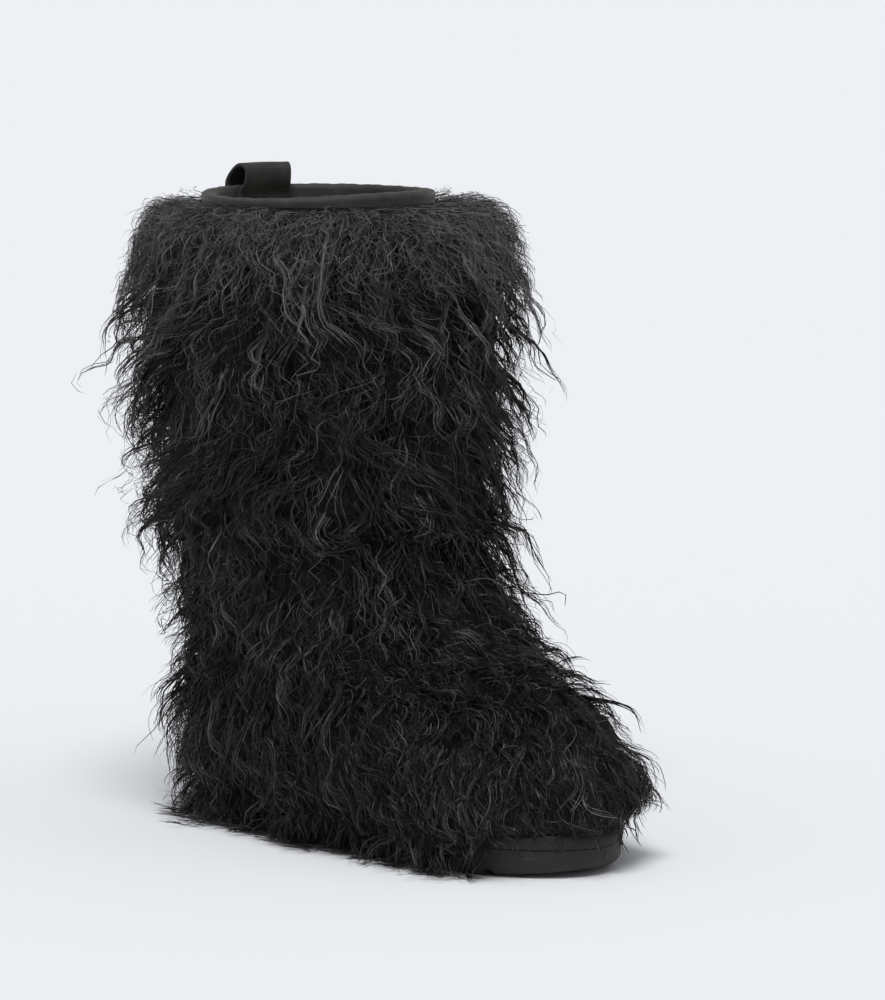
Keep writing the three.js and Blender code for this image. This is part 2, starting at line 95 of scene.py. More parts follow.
LONG_SHAFT, LONG_COLLAR, LONG_FOOT, LONG_TOE = 78 * MM, 64 * MM, 66 * MM, 48 * MM  # hair from root to tip
SHAFT_Z, FOOT_Z = 135 * MM, 85 * MM  # fur is the shaft's above the one and the foot's below the other
BACK_SWELL, BULGE = 0.48, 1.4  # shares by which fur is deeper all along the outer back, and round one height
BULGE_Z, BULGE_TALL = 180 * MM, 48 * MM
HEEL_FLARE = 24 * MM  # about how far hair spreads over the floor
TOE_HEADING = np.array([0.96, 0.28])  # level direction in which the toe is bare
TOE_FROM, TOE_TO = 136 * MM, 168 * MM  # that way, where the fur starts to shorten and where it is shortest
TOE_HEM, FREE_HEM = 29 * MM, -60 * MM  # lowest height of fur at the toe, and elsewhere one it never reaches
LEAN_OWN, LEAN_WIDE, LEAN_NARROW = 0.24, 0.38, 0.16  # turns of locks: each its own, and shared by neighbours
LONE_TIPS, LONE_TIP = 0.07, (2, 9)  # share of hairs whose tips stand out alone, and how far in mm
LONE_ENDS, LONE_END = 0.06, 16 * MM  # share of hairs that hang lower than the hem, and how much
NEVER = 9.0  # a share of the length that no hair reaches


def smooth(x, low, high):
    """Share from 0 at low to 1 at high, with a soft start and end."""
    t = np.clip((x - low) / (high - low), 0, 1)
    return t * t * (3 - 2 * t)


def mixed(a, b, share):
    """Value at a share of the way from a to b."""
    return a + (b - a) * share


def unit(v):
    """Vectors made one long."""
    return v / np.maximum(np.linalg.norm(v, axis=-1, keepdims=True), 1e-12)


def dot(a, b):
    """Scalar products of rows of vectors."""
    return (a * b).sum(-1)


def run_along(path):
    """Distance from a path's start to each of its points."""
    return np.concatenate([[0], np.cumsum(np.linalg.norm(np.diff(path, axis=0), axis=1))])


def evenly(path, count, closed=False):
    """Points at even steps along a path, without the last one if it is closed, and the path's length."""
    run = run_along(path)
    even = np.linspace(0, run[-1], count, endpoint=not closed)
    return np.stack([np.interp(even, run, row) for row in path.T], -1), run[-1]


def curve(a, b, slope_a, slope_b, w):
    """Point at share w of the way from a to b, on a cubic curve with slopes at both ends."""
    return a + (b - a) * w * w * (3 - 2 * w) + w * (1 - w) ** 2 * slope_a + w * w * (w - 1) * slope_b


def new_mesh(name, points, quads, tris=(), shade=True):
    """Mesh object from numpy arrays of points, quads and triangles."""
    quads = np.asarray(quads, np.int32).reshape(-1, 4)
    tris = np.asarray(tris, np.int32).reshape(-1, 3)
    mesh = bpy.data.meshes.new(name)
    mesh.vertices.add(len(points))
    mesh.vertices.foreach_set("co", np.asarray(points, np.float32).ravel())
    loops = np.concatenate([quads.ravel(), tris.ravel()])
    mesh.loops.add(len(loops))
    mesh.loops.foreach_set("vertex_index", loops)
    sizes = np.concatenate([np.full(len(quads), 4), np.full(len(tris), 3)])
    starts = np.concatenate([[0], np.cumsum(sizes)[:-1]]).astype(np.int32)
    mesh.polygons.add(len(sizes))
    mesh.polygons.foreach_set("loop_start", starts)
    mesh.polygons.foreach_set("use_smooth", np.full(len(sizes), shade))
    mesh.update(calc_edges=True)
    mesh.validate()
    obj = bpy.data.objects.new(name, mesh)
    bpy.context.scene.collection.objects.link(obj)
    return obj


def loft_quads(rows, closed=False):
    """Quads between neighbouring rows, each a loop of points, and if closed from the last to the first."""
    count, around = rows.shape[:2]
    r, k = np.meshgrid(np.arange(count - (not closed)), np.arange(around), indexing="ij")
    r2, k2 = (r + 1) % count, (k + 1) % around
    corners = [r * around + k, r * around + k2, r2 * around + k2, r2 * around + k]
    return np.stack(corners, -1).reshape(-1, 4)


def repeated(faces, size, count):
    """Faces of one part, made again for each of a number of parts of a size in points."""
    faces = np.array(faces)
    return (np.arange(count)[:, None, None] * size + faces).reshape(-1, faces.shape[-1])


def sleeve(name, rows):
    """Loft through rows of points that closes on itself, as a hollow sleeve with a wall does."""
    return new_mesh(name, rows.reshape(-1, 3), loft_quads(rows, closed=True))


def capped(name, rows):
    """Loft through rows of points from bottom to top, closed at both ends by a fan."""
    count, around = rows.shape[:2]
    points = np.concatenate([rows.reshape(-1, 3), rows[:1].mean(1), rows[-1:].mean(1)])
    k = np.arange(around)
    k2 = (k + 1) % around
    middle, top = np.full(around, count * around), (count - 1) * around
    tris = np.concatenate([np.stack([k2, k, middle], -1), np.stack([top + k, top + k2, middle + 1], -1)])
    return new_mesh(name, points, loft_quads(rows), tris)


def bridged(name, rows):
    """Loft through rows of points from bottom to top, closed at both ends by strips from side to side."""
    rows = np.roll(rows, -int(np.argmin(rows[0][:, 0])), axis=1)
    count, around = rows.shape[:2]
    top, half = (count - 1) * around, around // 2
    i = np.arange(1, half - 1)
    low = np.stack([i + 1, i, around - i, around - i - 1], -1)
    tris = [[1, 0, around - 1], [half, half - 1, half + 1]]
    tris += [[top + a, top + c, top + b] for a, b, c in tris]
    quads = np.concatenate([loft_quads(rows), low, top + low[:, ::-1]])
    return new_mesh(name, rows.reshape(-1, 3), quads, tris)


# The hide: the upper's outer face read from the frame as rings of points, and a smooth surface on them


SAME_PLACE = 0.002 * MM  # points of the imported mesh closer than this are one
SAME_LEVEL = 0.1 * MM


def joined_mesh(node):
    """Points of a node's mesh, each once, and its triangles."""
    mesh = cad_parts[node].data
    mesh.calc_loop_triangles()
    co = np.array([v.co for v in mesh.vertices])
    key = np.round(co / SAME_PLACE).astype(np.int64)
    _, first, same = np.unique(key, axis=0, return_index=True, return_inverse=True)
    return co[first], np.array([same.ravel()[list(t.vertices)] for t in mesh.loop_triangles])


def in_order(ring, near, points):
    """A ring's points in order, from the back along -Y."""
    start = min(ring, key=lambda p: points[p][0])
    order = [start]
    here = min((q for q in near[start] if q in ring), key=lambda q: points[q][1])
    while here != start:
        order.append(here)
        here = next(q for q in near[here] if q in ring and q not in order[-2:])
    return points[order]


def outer_rings(node):
    """Rings of the node's outer face from its lower edge up, each from the back along -Y."""
    points, faces = joined_mesh(node)
    z = points[:, 2]
    low, high = z < z.min() + SAME_LEVEL, z > z.max() - SAME_LEVEL
    edge_faces = low[faces].all(1) | high[faces].all(1)
    near = {}
    for a, b, c in faces[~edge_faces]:
        for p, q in ((a, b), (b, c), (c, a)):
            near.setdefault(p, set()).add(q)
            near.setdefault(q, set()).add(p)
    ring = {min((p for p in near if low[p]), key=lambda p: points[p][0])}
    for _ in range(len(near)):
        ring |= {q for p in ring for q in near[p] if low[q]}
    used, rings = set(), []
    while ring:
        used |= ring
        rings.append(in_order(ring, near, points))
        ring = {q for p in ring for q in near[p]} - used
    return np.array(rings)


RINGS = outer_rings("upper")
LEVELS, AROUND = RINGS.shape[:2]
KNOTS = np.concatenate([[0], np.cumsum(np.linalg.norm(np.diff(RINGS, axis=0), axis=2).mean(1))]) / MM
TOP = KNOTS[-1]  # the level of the collar's edge; one unit of level is about a millimetre of hide


def hide(u, t):
    """Points of the hide at places u round it, in ring steps, and levels t, with both derivatives."""
    u, t = np.broadcast_arrays(np.asarray(u, float), np.asarray(t, float))
    t = np.clip(t, 0, TOP)
    i = np.clip(np.searchsorted(KNOTS, t, side="right") - 1, 0, LEVELS - 2)
    rows = [np.clip(i + k, 0, LEVELS - 1) for k in (-1, 0, 1, 2)]
    base = np.floor(u)
    f = (u - base)[..., None]
    cols = [(base.astype(int) + k) % AROUND for k in (-1, 0, 1, 2)]

    def across(row):
        a, b, c, d = (RINGS[row, col] for col in cols)
        point = b + 0.5 * f * (c - a + f * (2 * a - 5 * b + 4 * c - d + f * (3 * (b - c) + d - a)))
        slope = 0.5 * (c - a + f * (2 * (2 * a - 5 * b + 4 * c - d) + 3 * f * (3 * (b - c) + d - a)))
        return point, slope

    (p0, s0), (p1, s1), (p2, s2), (p3, s3) = (across(row) for row in rows)
    k0, k1, k2, k3 = (KNOTS[row][..., None] for row in rows)
    span = k2 - k1
    w = (t[..., None] - k1) / span

    def along(a, b, c, d):
        m1 = (c - a) / np.maximum(k2 - k0, 1e-9) * span
        m2 = (d - b) / np.maximum(k3 - k1, 1e-9) * span
        rate = (6 * w * (1 - w) * (c - b) + (1 - w) * (1 - 3 * w) * m1 + w * (3 * w - 2) * m2) / span
        return curve(b, c, m1, m2, w), rate

    point, up = along(p0, p1, p2, p3)
    round_, _ = along(s0, s1, s2, s3)
    return point, round_, up


def places_round(count):
    """Even places round the hide."""
    return np.arange(count) * AROUND / count


def hide_normal(round_, up):
    """Outward direction from the hide's two derivatives."""
    return unit(np.cross(round_, up))


def off_hide(u, t, out):
    """Points at a distance out from the hide."""
    point, round_, up = hide(u, t)
    return point + hide_normal(round_, up) * np.asarray(out)[..., None]


DEPTH_U, DEPTH_T = 112, 90  # places and levels at which the fur's depth is read
DEEPEST = 60 * MM
NUDGE = 0.01 * MM


def depth_grid():
    """Depth of the solid fur over the hide, on an even grid of places and levels."""
    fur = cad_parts["fur"].data
    fur.calc_loop_triangles()
    tree = BVHTree.FromPolygons([v.co for v in fur.vertices], [t.vertices for t in fur.loop_triangles])
    t = np.linspace(0, TOP, DEPTH_T)
    uu, tt = np.meshgrid(places_round(DEPTH_U), t)
    point, round_, up = hide(uu, tt)
    normal = hide_normal(round_, up)
    depth = np.zeros(uu.shape)
    for at in np.ndindex(depth.shape):
        start, away = Vector(point[at]), Vector(normal[at])
        reach = 0.0
        while reach < DEEPEST:
            hit = tree.ray_cast(start + away * (reach + NUDGE), away, DEEPEST - reach)
            if hit[0] is None:
                break
            reach += hit[3] + NUDGE
        depth[at] = reach
    above = t > TOP - FUR_BARE / MM - 1.5
    depth[above] = depth[~above][-1]
    for _ in range(3):
        depth = (np.roll(depth, 1, 1) + 2 * depth + np.roll(depth, -1, 1)) / 4
        padded = np.concatenate([depth[:1], depth, depth[-1:]])
        depth = (padded[:-2] + 2 * padded[1:-1] + padded[2:]) / 4
    return depth


DEPTH = depth_grid()


def depth_at(u, t):
    """Depth of the fur at places and levels, read from the grid."""
    x = (np.asarray(u) * DEPTH_U / AROUND) % DEPTH_U
    y = np.clip(np.asarray(t) / TOP * (DEPTH_T - 1), 0, DEPTH_T - 1.001)
    i, j = x.astype(int), y.astype(int)
    fx, fy = x - i, y - j
    i2 = (i + 1) % DEPTH_U
    low = DEPTH[j, i % DEPTH_U] * (1 - fx) + DEPTH[j, i2] * fx
    high = DEPTH[j + 1, i % DEPTH_U] * (1 - fx) + DEPTH[j + 1, i2] * fx
    return low * (1 - fy) + high * fy


def level_below(drop):
    """Level that lies a length of hide below the collar's edge."""
    return TOP - drop / MM


FUR_TOP = level_below(BINDING_OUTSIDE + 2 * CLEAR)
ROOT_TOP = level_below(FUR_BARE + 2 * MM)
COLLAR_STEP = np.linalg.norm(np.diff(RINGS[-1], axis=0), axis=1).mean()


def collar_room(u):
    """How far out from the hide the fur starts beside the binding: close to it, but wide at the pull loop."""
    turn = (np.asarray(u, float) + AROUND / 2) % AROUND - AROUND / 2
    arc = turn * COLLAR_STEP
    past = np.where(arc < 0, -arc - LOOP_SHIFT, arc + LOOP_SHIFT) - LOOP_WIDTH / 2
    beside, at_loop = BINDING + 3.4 * CLEAR, BINDING + LOOP_THICK + 5 * CLEAR + 0.5 * MM
    return mixed(at_loop, beside, smooth(past, 3 * MM, 13 * MM))


def wander(p, scale, seed):
    """Smooth repeatable noise between about -1 and 1 at points p."""
    local = np.random.default_rng(seed)
    total = np.zeros(p.shape[:-1])
    for k in range(4):
        wave = local.normal(size=3)
        wave *= (1 + 0.6 * k) * 2 * math.pi / scale / np.linalg.norm(wave)
        total += np.sin(p @ wave + local.uniform(0, 6.28)) / (1 + 0.5 * k)
    return total / 1.9


# Guides: lines on the hide that fall as a lock of fur falls


def random_places(count):
    """Places and levels at random over the furred hide, as many to each part of it as its area asks."""
    fine_u, fine_t = 168, 160
    u = (np.arange(fine_u) + 0.5) * AROUND / fine_u
    t = np.linspace(0, ROOT_TOP, fine_t)
    uu, tt = np.meshgrid(u, t)
    _, round_, up = hide(uu, tt)
    area = np.linalg.norm(np.cross(round_, up), axis=-1).ravel()
    pick = np.searchsorted(np.cumsum(area) / area.sum(), rng.random(count))
    u = uu.ravel()[pick] + (rng.random(count) - 0.5) * AROUND / fine_u
    t = tt.ravel()[pick] + (rng.random(count) - 0.5) * ROOT_TOP / fine_t
    return u, np.clip(t, 0.5, ROOT_TOP)


def root_places(count, spacing):
    """Places and levels over the furred hide, none closer to another than a spacing."""
    kept, cells = [], {}
    near = [(a, b, c) for a in (-1, 0, 1) for b in (-1, 0, 1) for c in (-1, 0, 1)]
    for _ in range(60):
        u, t = random_places(count)
        points, _, _ = hide(u, t)
        for a, b, p in zip(u, t, points):
            x, y, z = np.floor(p / spacing).astype(int)
            others = [q for i, j, k in near for q in cells.get((x + i, y + j, z + k), ())]
            if all(((p - q) ** 2).sum() >= spacing**2 for q in others):
                cells.setdefault((x, y, z), []).append(p)
                kept.append((a, b))
                if len(kept) == count:
                    return np.array(kept).T
    return np.array(kept).T


def fall_direction(point, normal, free, hanging):
    """Which way fur falls: down along the hide, back at the heel, ahead at the toe, or through the air."""
    x, z = point[:, 0], point[:, 2]
    on_shaft = mixed(-0.6, 0.25, smooth(x, -55 * MM, 70 * MM))
    on_foot = mixed(-0.4, 0.66, smooth(x, -50 * MM, 60 * MM))
    ahead = mixed(on_shaft, on_foot, smooth(-z, -130 * MM, -60 * MM))
    pull = np.stack([ahead, 0 * ahead, 0 * ahead - 1], -1)
    fall = pull - dot(pull, normal)[:, None] * normal
    fall = np.where(free[:, None], FREE_FALL, fall)
    return unit(np.where(hanging[:, None], CREASE_FALL, fall))


def steps_on_hide(u, t, move):
    """Steps round the hide and in level that come closest to moves in space."""
    _, round_, up = hide(u, t)
    rr, uu, ru = dot(round_, round_), dot(up, up), dot(round_, up)
    mr, mu = dot(move, round_), dot(move, up)
    det = np.maximum(rr * uu - ru * ru, 1e-16)
    return np.clip((mr * uu - mu * ru) / det, -1.2, 1.2), (mu * rr - mr * ru) / det


def guides(u, t, length):
    """Falling lines from roots on the hide: points on it, normals, fall directions, depths and levels."""
    count = len(u)
    step = length[:, None] / (GUIDE_STEPS - 1)
    point, round_, up = hide(u, t)
    normal = hide_normal(round_, up)
    turn_own = rng.normal(0, LEAN_OWN, count)
    stations = []
    free, hanging = np.zeros(count, bool), np.zeros(count, bool)
    from_shaft = (point[:, 2] > CREASE_Z) & (normal[:, 2] < CREASE_TILT) & (point[:, 0] > 0)
    for _ in range(GUIDE_STEPS):
        fall = fall_direction(point, normal, free, hanging)
        turn = turn_own + LEAN_WIDE * wander(point, 75 * MM, 21) + LEAN_NARROW * wander(point, 30 * MM, 22)
        heading = unit(fall + unit(np.cross(normal, fall)) * turn[:, None])
        stations.append((point, normal, heading, depth_at(u, t), t))
        move = heading * step
        du, dt = steps_on_hide(u, t, move)
        leaves = ~free & (t + dt < 0)
        hangs = ~free & ~leaves & from_shaft & (normal[:, 2] > CREASE_TILT)
        stays = ~free & ~leaves & ~hangs
        u = np.where(stays, u + du, u)
        t = np.where(stays, t + dt, np.where(leaves, 0, t))
        on_hide, round_, up = hide(u, t)
        free, hanging = free | leaves | hangs, hanging | hangs
        point = np.where(free[:, None], point + move, on_hide)
        level_normal = unit(normal * np.array([1, 1, 0.4]))
        normal = np.where(free[:, None], level_normal, hide_normal(round_, up))
    lines = [np.stack(part, 1) for part in zip(*stations)]
    for line in lines[:3]:  # of points, normals and directions, which are smoothed
        for _ in range(2):
            line[:, 1:-1] = (line[:, :-2] + 2 * line[:, 1:-1] + line[:, 2:]) / 4
    return lines


def at_share(line, share):
    """Values of lines (n, steps), of numbers or of points, at shares (n, m) of their length."""
    steps = line.shape[1]
    x = np.clip(share * (steps - 1), 0, steps - 1.001)
    i = x.astype(int)
    f = x - i
    n = np.arange(len(line))[:, None]
    if line.ndim == 3:
        f = f[..., None]
    return line[n, i] * (1 - f) + line[n, i + 1] * f


def set_grain(obj, grain):
    """Gives each point of a mesh its place in the noise that streaks the fur."""
    layer = obj.data.attributes.new("grain", "FLOAT_VECTOR", "POINT")
    layer.data.foreach_set("vector", grain.astype(np.float32).ravel())


GRAIN_APART, GRAIN_DRAWN = 90, 0.05  # how far hairs lie apart in the noise, and how far it is drawn out
FLAT = ((-1.0, 0.0), (1.0, 0.0))
ARCHED = ((-1.0, 0.0), (0.0, 0.5), (1.0, 0.0))


def ribbon_faces(rings, wide):
    """Quads along a ribbon, and the triangles that close its tip."""
    tip = rings * wide
    quads, tris = [], []
    for k in range(wide - 1):
        tris.append([tip - wide + k, tip - wide + k + 1, tip])
        for r in range(0, (rings - 1) * wide, wide):
            quads.append([r + k, r + k + 1, r + wide + k + 1, r + wide + k])
    return quads, tris


def ribbons(name, line, radius, tone, face, bands=FLAT, start_turn=3.0, twist=2.6):
    """Thin hairs along lines (n, m, 3), flat and turning about their line, each ending in a point.

    bands: points across a hair, as shares of its radius to the side and out.
    """
    n, m = line.shape[:2]
    rings, wide = m - 1, len(bands)
    ahead = unit(np.gradient(line, axis=1))
    side = unit(np.cross(ahead, np.broadcast_to(face, ahead.shape)))
    out = np.cross(ahead, side)
    share = np.linspace(0, 1, m)
    turn = rng.normal(0, start_turn, n)[:, None] + rng.normal(0, twist, n)[:, None] * share
    across = side * np.cos(turn)[..., None] + out * np.sin(turn)[..., None]
    lift = np.cross(across, ahead)
    body = np.stack([line + (across * a + lift * b) * radius[..., None] for a, b in bands], 2)[:, :rings]
    points = np.concatenate([body.reshape(n, rings * wide, 3), line[:, -1:]], 1)
    size = rings * wide + 1
    quads, tris = (repeated(faces, size, n) for faces in ribbon_faces(rings, wide))
    obj = new_mesh(name, points.reshape(-1, 3), quads, tris)
    own = rng.random(n)[:, None]
    at = np.concatenate([np.repeat(share[:rings], wide), [1.0]])
    values = np.ones((n, size, 4), np.float32)
    values[..., 0], values[..., 1], values[..., 2] = tone[:, None], at, own
    layer = obj.data.color_attributes.new("tone", "FLOAT_COLOR", "POINT")
    layer.data.foreach_set("color", values.ravel())
    run = np.linalg.norm(np.diff(line, axis=1), axis=2).sum(1)[:, None] / MM
    width = radius.max(1)[:, None] / MM
    aside = np.concatenate([np.tile([a for a, _ in bands], rings), [0.0]])
    grain = np.zeros((n, size, 3), np.float32)
    grain[..., 0] = aside * width + own * GRAIN_APART
    grain[..., 2] = at * run * GRAIN_DRAWN
    set_grain(obj, grain)
    return obj


def settle(line):
    """Keeps hairs off the floor, laying what would sink under it outward with its tip curled up."""
    out = line.copy()
    deep = np.maximum(FLOOR_LIFT - out[..., 2], 0)
    away = unit(out[..., :2] - MIDDLE)
    splay = rng.normal(0, 0.6, len(line))[:, None]
    aside = np.stack([-away[..., 1], away[..., 0]], -1)
    spread = away * np.cos(splay)[..., None] + aside * np.sin(splay)[..., None]
    out[..., :2] += spread * deep[..., None] * LAID_OUT
    out[..., 2] = np.where(deep > 0, FLOOR_LIFT + np.minimum(deep * CURLED_UP, CURL_TOP), out[..., 2])
    return out


def held_in(line):
    """Draws hairs in where they would stand too far out to the outer side."""
    over = np.maximum(-SIDE_REACH - line[..., 1], 0)
    line[..., 1] += over - SIDE_SPARE * (1 - np.exp(-over / SIDE_SPARE))
    return line


def swell(point):
    """How much further out the long hair stands than the solid, fullest at the outer back of the shaft."""
    back, z = point[..., :2] @ OUTER_BACK, point[..., 2]
    more = BACK_SWELL + BULGE * np.exp(-(((z - BULGE_Z) / BULGE_TALL) ** 2))
    at_height = smooth(z, 0.0, 50 * MM) * (1 - smooth(z, 276 * MM, 318 * MM))
    return 1 + more * smooth(back, 36 * MM, 78 * MM) * at_height


def heel_flare(point):
    """How much further out hair stands low down at the heel, where it spreads over the floor."""
    low = 1 - smooth(point[..., 2], 6 * MM, 85 * MM)
    return HEEL_FLARE * low * smooth(-point[..., 0] - 0.35 * point[..., 1], 0.0, 85 * MM)


def fur_length(u, t):
    """Length of the fur at its roots, in metres."""
    point, _, _ = hide(u, t)
    x, z = point[:, 0], point[:, 2]
    on_foot = mixed(LONG_FOOT, LONG_TOE, smooth(x, 70 * MM, 180 * MM))
    length = mixed(LONG_SHAFT, on_foot, smooth(-z, -SHAFT_Z, -FOOT_Z))
    return mixed(length, LONG_COLLAR, smooth(t, FUR_TOP - 30, FUR_TOP))


def bare_toe(point):
    """Share by which a place belongs to the front of the toe, where the sole shows."""
    return smooth(point[..., :2] @ TOE_HEADING, TOE_FROM, TOE_TO)


def hem_limit(point):
    """Height that fur may hang down to: short at the front of the toe."""
    return mixed(FREE_HEM, TOE_HEM, bare_toe(point))


def first_below(z, limit, share):
    """Share of each hair's length at which it first drops below a limit."""
    under = z < limit
    first = np.argmax(under, axis=1)
    found = np.take_along_axis(share, first[:, None], 1)[:, 0]
    return np.where(under.any(axis=1), found, NEVER)


def traits(u, t, length, parts, style):
    """What sets hairs apart, drawn for each clump or for each hair, in columns with a row for every hair."""
    n, total = len(u), len(u) * parts
    clump = np.repeat(np.arange(n), parts)

    def shared(values):
        """A value for each clump, given to each of its hairs."""
        return values[clump][:, None]

    def shared_range(key):
        """A value in one of the style's ranges for each clump."""
        return shared(rng.uniform(*style[key], n))

    def own_range(low, high):
        """A value in a range for each hair."""
        return rng.uniform(low, high, total)[:, None]

    low = shared(smooth(-hide(u, t)[0][:, 2], -0.12, -0.07))
    tuft = shared(0.8 + 0.5 * np.sin(u * 2.3 + 1.0) * np.sin(u * 5.7 + 0.4))
    hair = SimpleNamespace(clump=clump, run=shared(length), room=shared(collar_room(u)))
    hair.high = shared(smooth(t, FUR_TOP - 22, ROOT_TOP))
    hair.begin = style["begin"] * (1 - hair.high)
    hair.layer = shared_range("layer")
    flick = shared(rng.random(n) < style["flick_share"]) * shared_range("flick") * MM
    lone = (rng.random(total) < LONE_TIPS)[:, None] * own_range(*LONE_TIP) * MM
    hair.flick = (flick + lone) * mixed(1.0, 0.6, low)
    sway = shared(rng.normal(0, 0.12, n)) + rng.normal(0, style["stray"], total)[:, None]
    hair.sway = np.clip(sway, -0.6, 0.6)
    hair.wave = shared_range("wave") * MM
    hair.size = shared_range("size") * own_range(0.8, 1.2) * MM
    hair.phase = shared(rng.uniform(0, 2 * math.pi, n)) + rng.normal(0, style["phase"], total)[:, None]
    hair.spin = own_range(0, 2 * math.pi)
    hair.twist = shared(rng.normal(0, 1.2, n))
    hair.offset = np.tile(style["offsets"], n)[:, None] * own_range(0.6, 1.25) * MM
    hair.stop = rng.uniform(*style["stop"], total)
    hair.stand = style["stand"] * own_range(0.2, 1.25) * tuft * MM
    hair.crimp = shared_range("crimp") * own_range(0.7, 1.3) * MM
    hair.ripple = shared_range("ripple") * MM
    hair.beat = shared(rng.uniform(0, 2 * math.pi, n)) + rng.normal(0, 0.5, total)[:, None]
    hair.reach = own_range(2.0, 9.0) * tuft * MM
    hair.flare = own_range(0.3, 1.25)
    hair.sprout = own_range(0.05, 0.85)
    hair.slack = own_range(-3, 3) * MM - (rng.random(total) < LONE_ENDS)[:, None] * LONE_END
    hair.lie = rng.uniform(6, 20, total) * MM / hair.run[:, 0]
    return hair


def curls(hair, style, share):
    """How far out and aside hairs are taken by their long and short curls and their place in the clump."""
    angle = 2 * math.pi * share * hair.run / hair.wave * (1 + 0.35 * share) + hair.phase
    grow = hair.size * smooth(share, 0.05, 0.6) * (1 + 0.6 * share)
    fast = 2 * math.pi * share * hair.run / hair.ripple + hair.beat
    tight = hair.crimp * smooth(share, 0.15, 0.6) * (1 + 0.7 * share)
    turn = hair.spin + hair.twist * share
    loose = hair.offset * mixed(1.0, style["gather"], smooth(share, 0.1, 0.7))
    loose = loose + style["fray"] * MM * smooth(share, 0.6, 1.0) * (hair.offset > 0)
    out = 0.5 * grow * np.cos(angle) + 0.6 * tight * np.cos(fast) + 0.7 * loose * np.sin(turn)
    return out, grow * np.sin(angle) + tight * np.sin(fast) + loose * np.cos(turn)


def trace(guide, hair, style, start, stop, points):
    """Lines of hairs from one share of their guides to another, with the shares and the normals there."""
    foot, facing, fall, deep, level = guide
    share = mixed(start, stop[:, None], np.linspace(0, 1, points)[None])
    base, normal = at_share(foot, share), unit(at_share(facing, share))
    across = unit(np.cross(normal, at_share(fall, share)))
    shown = smooth(share, hair.begin, mixed(0.8, 0.3, hair.high))
    rise = mixed(mixed(style["rise"], hair.sprout, hair.high), 1.0, shown)
    out = at_share(deep, share) * hair.layer * rise * swell(base)
    out = out + hair.flick * smooth(share, 0.35, 1.0) ** 1.4
    out = out + hair.flare * heel_flare(base) * smooth(share, 0.1, 0.7)
    curl, side = curls(hair, style, share)
    clear = (hair.room + 0.5 * MM) * smooth(at_share(level, share), FUR_TOP - 5, FUR_TOP)
    out = np.maximum(out + curl, clear)
    side = side + hair.sway * share**1.5 * hair.run
    line = base + normal * out[..., None] + across * side[..., None]
    line[..., 2] += hair.high * hair.stand * np.sin(math.pi * np.clip(share / style["hold"], 0, 1))
    over = np.maximum(line[..., 2] - foot[:, :1, 2], 0)
    line[..., 2] -= hair.high * (over - hair.reach * (1 - np.exp(-over / hair.reach)))
    return line, share, normal


def hairs(u, t, length, parts, points, style):
    """Hairs in clumps along falling guides, a number of parts to a clump: their lines, facings and clumps."""
    lines = guides(u, t, length * 1.02)
    hair = traits(u, t, length, parts, style)
    guide = [line[hair.clump] for line in lines]
    line, share, _ = trace(guide, hair, style, 0.0 * hair.begin, hair.stop, points)
    hem = first_below(line[..., 2], hem_limit(line) + hair.slack, share)
    ground = first_below(line[..., 2], FLOOR_LIFT, share) + hair.lie
    stop = np.minimum(hair.stop, np.minimum(hem, ground))
    start = np.minimum(hair.begin, 0.3 * stop[:, None])
    line, _, normal = trace(guide, hair, style, start, np.maximum(stop, 0.05), points)
    return held_in(settle(line)), normal, hair.clump


def thickness(line, low, high, thin, start=0.45):
    """Radius along each hair: even at first, then narrowing to a share of it at the tip."""
    along = np.linspace(0, 1, line.shape[1])[None]
    body = rng.uniform(low, high, len(line))[:, None] * MM
    return body * mixed(1.0, thin, smooth(along, start, 1.0))


def clump_tones(rep, t, dark, light, spread):
    """A tone for each hair: mostly its clump's, with painted top light that makes hair paler towards the
    collar.
    """
    # upper is painted top light: hair near the collar is made paler, as light from above would make it
    upper = 0.29 * smooth(t, FUR_TOP - 55, FUR_TOP) + 0.25 * smooth(t, FUR_TOP - 7, FUR_TOP + 3)
    clump = rng.beta(dark, light, rep.max() + 1) + upper
    return np.clip(clump[rep] + rng.normal(0, spread, len(rep)), 0, 1.2)


# Styles of hair, with lengths in mm and ranges in pairs.
# layer: depth in the pile; begin and rise: from where along it a hair shows, and how far out it stands there.
# flick and flick_share: how far its tip stands out, and in what share of clumps; stray: how it leans aside.
# wave, size and phase: its long curls; ripple and crimp: length and height of its short ones.
# offsets: a clump's hairs from its middle; gather and fray: how they draw together and part again.
# stop: at what share of its length it ends; stand and hold: how it stands up at the collar.
WISPS = {
    "layer": (0.82, 1.2), "begin": 0.24, "rise": 0.5, "flick_share": 0.34, "flick": (4, 18), "stray": 0.05,
    "wave": (26, 52), "size": (1.0, 3.0), "phase": 0.3, "crimp": (0.2, 0.9), "ripple": (11, 19),
    "offsets": (0.0, 0.9, 1.4, 1.8, 2.1, 2.5, 3.0), "gather": 0.45, "fray": 1.2, "stop": (0.7, 1.0),
    "stand": 5.0, "hold": 0.5,
}
LOOSE = WISPS | {
    "layer": (0.84, 1.2), "begin": 0.26, "rise": 0.6, "flick_share": 0.4, "flick": (1, 9), "stray": 0.26,
    "wave": (14, 28), "size": (1.0, 2.8), "phase": 0.2, "ripple": (8, 14), "offsets": (0.4,), "gather": 1.0,
    "fray": 0.0,
}
SHOULDER = LOOSE | {
    "layer": (0.75, 1.25), "begin": 0.0, "rise": 0.8, "flick_share": 0.3, "flick": (1, 5), "stray": 0.34,
    "wave": (10, 20), "size": (0.8, 2.4), "crimp": (0.2, 0.8), "ripple": (6, 12), "stop": (0.6, 1.0),
    "stand": 6.0, "hold": 0.6,
}
SHORT = LOOSE | {
    "layer": (0.8, 1.22), "begin": 0.0, "rise": 0.9, "flick_share": 0.5, "flick": (1, 4), "stray": 0.6,
    "wave": (7, 13), "size": (1.0, 2.6), "crimp": (0.4, 1.2), "ripple": (5, 9), "stand": 11.0, "hold": 1.15,
}


